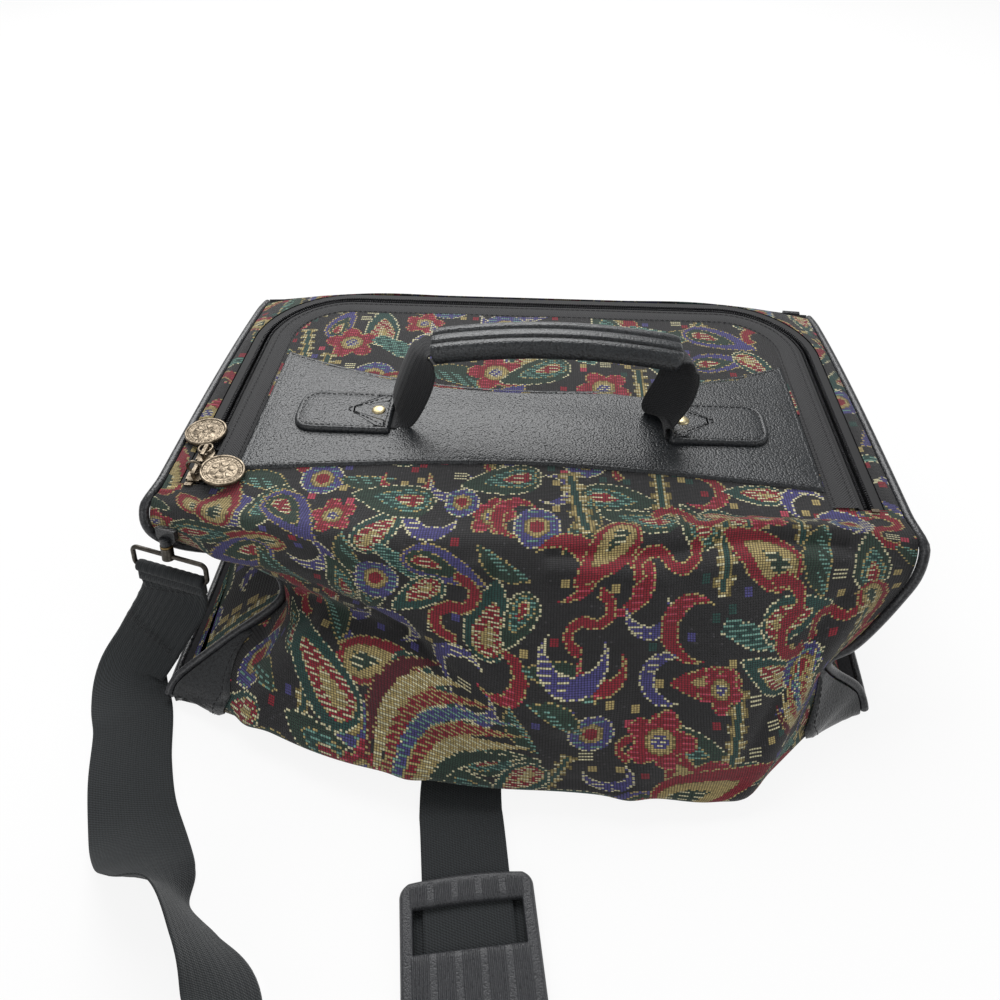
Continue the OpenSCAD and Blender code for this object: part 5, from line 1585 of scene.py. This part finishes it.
def shoulder_pad():
    """The ribbed rubber pad with its two windows"""
    ys = pad_rows()
    x = np.linspace(-1, 1, 191)
    past_end = np.maximum(0, np.abs(ys) - (PAD_HALF_L - PAD_R))
    half = PAD_HALF_W - PAD_R + np.sqrt(np.maximum(0, PAD_R**2 - past_end ** 2))
    bow = 1.4 * (1 - x[None, :] ** 2) * np.clip((np.abs(ys) - 60) / 29, 0, 1)[:, None] \
        * np.sign(ys)[:, None]
    gx = half[:, None] * x[None, :]
    gy = ys[:, None] + 0 * gx
    edge = np.minimum(half[:, None] - np.abs(gx), PAD_HALF_L - np.abs(gy))
    z = 6.1 - 1.6 * (1 - np.clip(edge / 1.6, 0, 1)) ** 2
    ridges = 0
    for group in range(-2, 3):
        for k in range(-2, 3):
            ridges = ridges + np.exp(-((gx - group * RIDGE_GROUP - k * RIDGE_PITCH) / 0.36) ** 4)
    window_y = np.abs(np.abs(gy) - WINDOW_Y) - WINDOW_L / 2
    from_window = np.maximum(window_y, np.abs(gx) - WINDOW_W / 2)
    z = z + 0.55 * ridges * np.clip(edge - 2.2, 0, 1) * np.clip(from_window / 0.8, 0, 1)
    z = z - 0.6 * np.exp(-(np.maximum(from_window, 0) / 0.5) ** 2)
    mid_y = (ys[:-1] + ys[1:])[:, None] / 2
    keep = ~((np.abs(np.abs(mid_y) - WINDOW_Y) < WINDOW_L / 2)
             & (np.abs(cell_middles(gx)) < WINDOW_W / 2))
    points, faces = plate_under(np.stack([gx, gy + bow, z], -1), keep, 0.05)
    piece = add_mesh("shoulder_pad_rubber", laid(points), faces, PAD_RUBBER, "pad")
    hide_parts("shoulder_pad")
    return [piece] + pad_backings()


def pad_backings():
    """The cloth that shows through the pad's windows"""
    backings = []
    for side, name in ((-1, "pad_backing_front"), (1, "pad_backing_rear")):
        bx = np.linspace(-WINDOW_W / 2 - 0.6, WINDOW_W / 2 + 0.6, 24)
        by = side * WINDOW_Y + np.linspace(-WINDOW_L / 2 - 0.6, WINDOW_L / 2 + 0.6, 12)
        gx, gy = np.meshgrid(bx, by)
        grid = laid(np.stack([gx, gy, np.full(gx.shape, 1.2)], -1))
        backing = sheet_mesh(name, grid, WEBBING, "pad", u=bx, v=by)
        backings.append(backing)
    return backings


# CAD pieces that stay: their finish only
def finish_nodes():
    finishes = {
        "zip_tape_body": TAPE, "zip_tape_lid": TAPE, "zip_end_stop": NICKEL,
        "zip_slider_front": NICKEL, "zip_slider_rear": NICKEL,
        "handle_rivet_left": PALE_BRASS, "handle_rivet_right": PALE_BRASS,
        "strap_stud_left": ANTIQUE, "strap_stud_right": ANTIQUE,
        "strap_loop_left": DARK_STEEL, "strap_loop_right": DARK_STEEL,
        "strap_tab_left": PATCH_VINYL, "strap_tab_right": PATCH_VINYL,
    }
    for name, material in finishes.items():
        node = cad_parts[name]
        for slot in node.material_slots:
            slot.material = material


# Stage, light and camera
def node_tree(owner, *kinds):
    """Clears the owner's nodes and makes new ones, one of each kind"""
    owner.use_nodes = True
    owner.node_tree.nodes.clear()
    return [owner.node_tree.links.new] + [owner.node_tree.nodes.new("ShaderNode" + k) for k in kinds]


def white_where_seen(name, lit):
    """A pale surface that the camera and reflections see as nearly white"""
    m = bpy.data.materials.new(name)
    link, out, diffuse, glow, path, seen, seen_all, share, mix = node_tree(
        m, "OutputMaterial", "BsdfDiffuse", "Emission", "LightPath", "Math", "Math", "Math",
        "MixShader")
    diffuse.inputs["Color"].default_value = (0.86, 0.86, 0.86, 1)
    glow.inputs["Strength"].default_value = 1.0
    seen.operation = seen_all.operation = "MAXIMUM"
    share.operation = "MULTIPLY"
    share.inputs[1].default_value = 1 - lit
    link(path.outputs["Is Camera Ray"], seen.inputs[0])
    link(path.outputs["Is Glossy Ray"], seen.inputs[1])
    link(seen.outputs[0], seen_all.inputs[0])
    link(path.outputs["Is Transmission Ray"], seen_all.inputs[1])
    link(seen_all.outputs[0], share.inputs[0])
    link(share.outputs[0], mix.inputs[0])
    link(diffuse.outputs[0], mix.inputs[1])
    link(glow.outputs[0], mix.inputs[2])
    link(mix.outputs[0], out.inputs[0])
    return m


FLOOR_HALF, FLOOR_Z = 6.0, -0.0003


def studio_floor():
    mesh = bpy.data.meshes.new("studio_floor")
    corners = ((-1, -1), (1, -1), (1, 1), (-1, 1))
    mesh.from_pydata([(x * FLOOR_HALF, y * FLOOR_HALF, FLOOR_Z) for x, y in corners], [],
                     [(0, 1, 2, 3)])
    mesh.materials.append(white_where_seen("studio_floor_white", 0.12))
    new_object("studio_floor", mesh)


def studio_world():
    """A soft grey light from all sides that the camera sees as white"""
    world = bpy.data.worlds.new("studio")
    bpy.context.scene.world = world
    link, out, light, white, path, mix = node_tree(
        world, "OutputWorld", "Background", "Background", "LightPath", "MixShader")
    light.inputs["Strength"].default_value = 0.36
    white.inputs["Color"].default_value = light.inputs["Color"].default_value = (1, 1, 1, 1)
    link(path.outputs["Is Camera Ray"], mix.inputs[0])
    link(light.outputs[0], mix.inputs[1])
    link(white.outputs[0], mix.inputs[2])
    link(mix.outputs[0], out.inputs[0])


def lamp(name, place, aim, size_m, power):
    """A square softbox at a place, turned to what it lights"""
    data = bpy.data.lights.new(name, "AREA")
    data.size = size_m
    data.energy = power
    obj = new_object(name, data)
    d = unit(np.array(aim) - np.array(place))
    obj.location = place
    obj.rotation_euler = (math.acos(-d[2]), 0, math.atan2(-d[0], d[1]))


def photo_camera():
    """The camera that was fitted to the photo"""
    data = bpy.data.cameras.new("photo_camera")
    data.lens = 27
    data.sensor_width = 36
    camera = new_object("photo_camera", data)
    camera.location = (0.0020, -0.3134, 0.347)
    camera.rotation_euler = (math.radians(45), 0, math.radians(3.2))
    bpy.context.scene.camera = camera


def stage():
    studio_floor()
    studio_world()
    lamp("top_softbox", (-0.25, 1.0, 1.2), (0, 0, 0), 1.3, 29)
    lamp("front_softbox", (-0.9, -1.5, 1.1), (0, -0.1, 0), 1.2, 7)
    lamp("right_softbox", (1.5, -0.4, 0.9), (0, 0, 0), 1.0, 5)
    photo_camera()
    bpy.context.scene.view_settings.view_transform = "Standard"


# Building
front_cloth()
rear_lid_cloth()
back_and_base()
end_cloth("end_cloth_left", 0, 41)
end_cloth("end_cloth_right", RIGHT, 52)
gussets()
linings()
piping("piping_cord_left", "piping_left", 0)
piping("piping_cord_right", "piping_right", RIGHT)
for corner, column, patch_rows in (("front_left", 0, (17 / 3, 8)),
                                   ("front_right", RIGHT, (16 / 3, 8)),
                                   ("rear_left", 0, (38 / 3, 11)),
                                   ("rear_right", RIGHT, (38 / 3, 11))):
    corner_patch(corner + "_patch", "corner_patch_" + corner, column, patch_rows)
lid_binding()
zip_coils()
lid_band()
handle_tab("tab_vinyl_left", "handle_tab_left", -1)
handle_tab("tab_vinyl_right", "handle_tab_right", 1)
handle_webbing()
handle_grip()
zip_pulls()
finish_nodes()

webbing, course_line, strap_length, strap_rows = strap()
left_end = strap_end("strap_end_cloth_left", "strap_end_left", LEFT, "loop_left")
right_end = strap_end("strap_end_cloth_right", "strap_end_right", RIGHT_FIT, "loop_right")
pad = shoulder_pad()

stage()
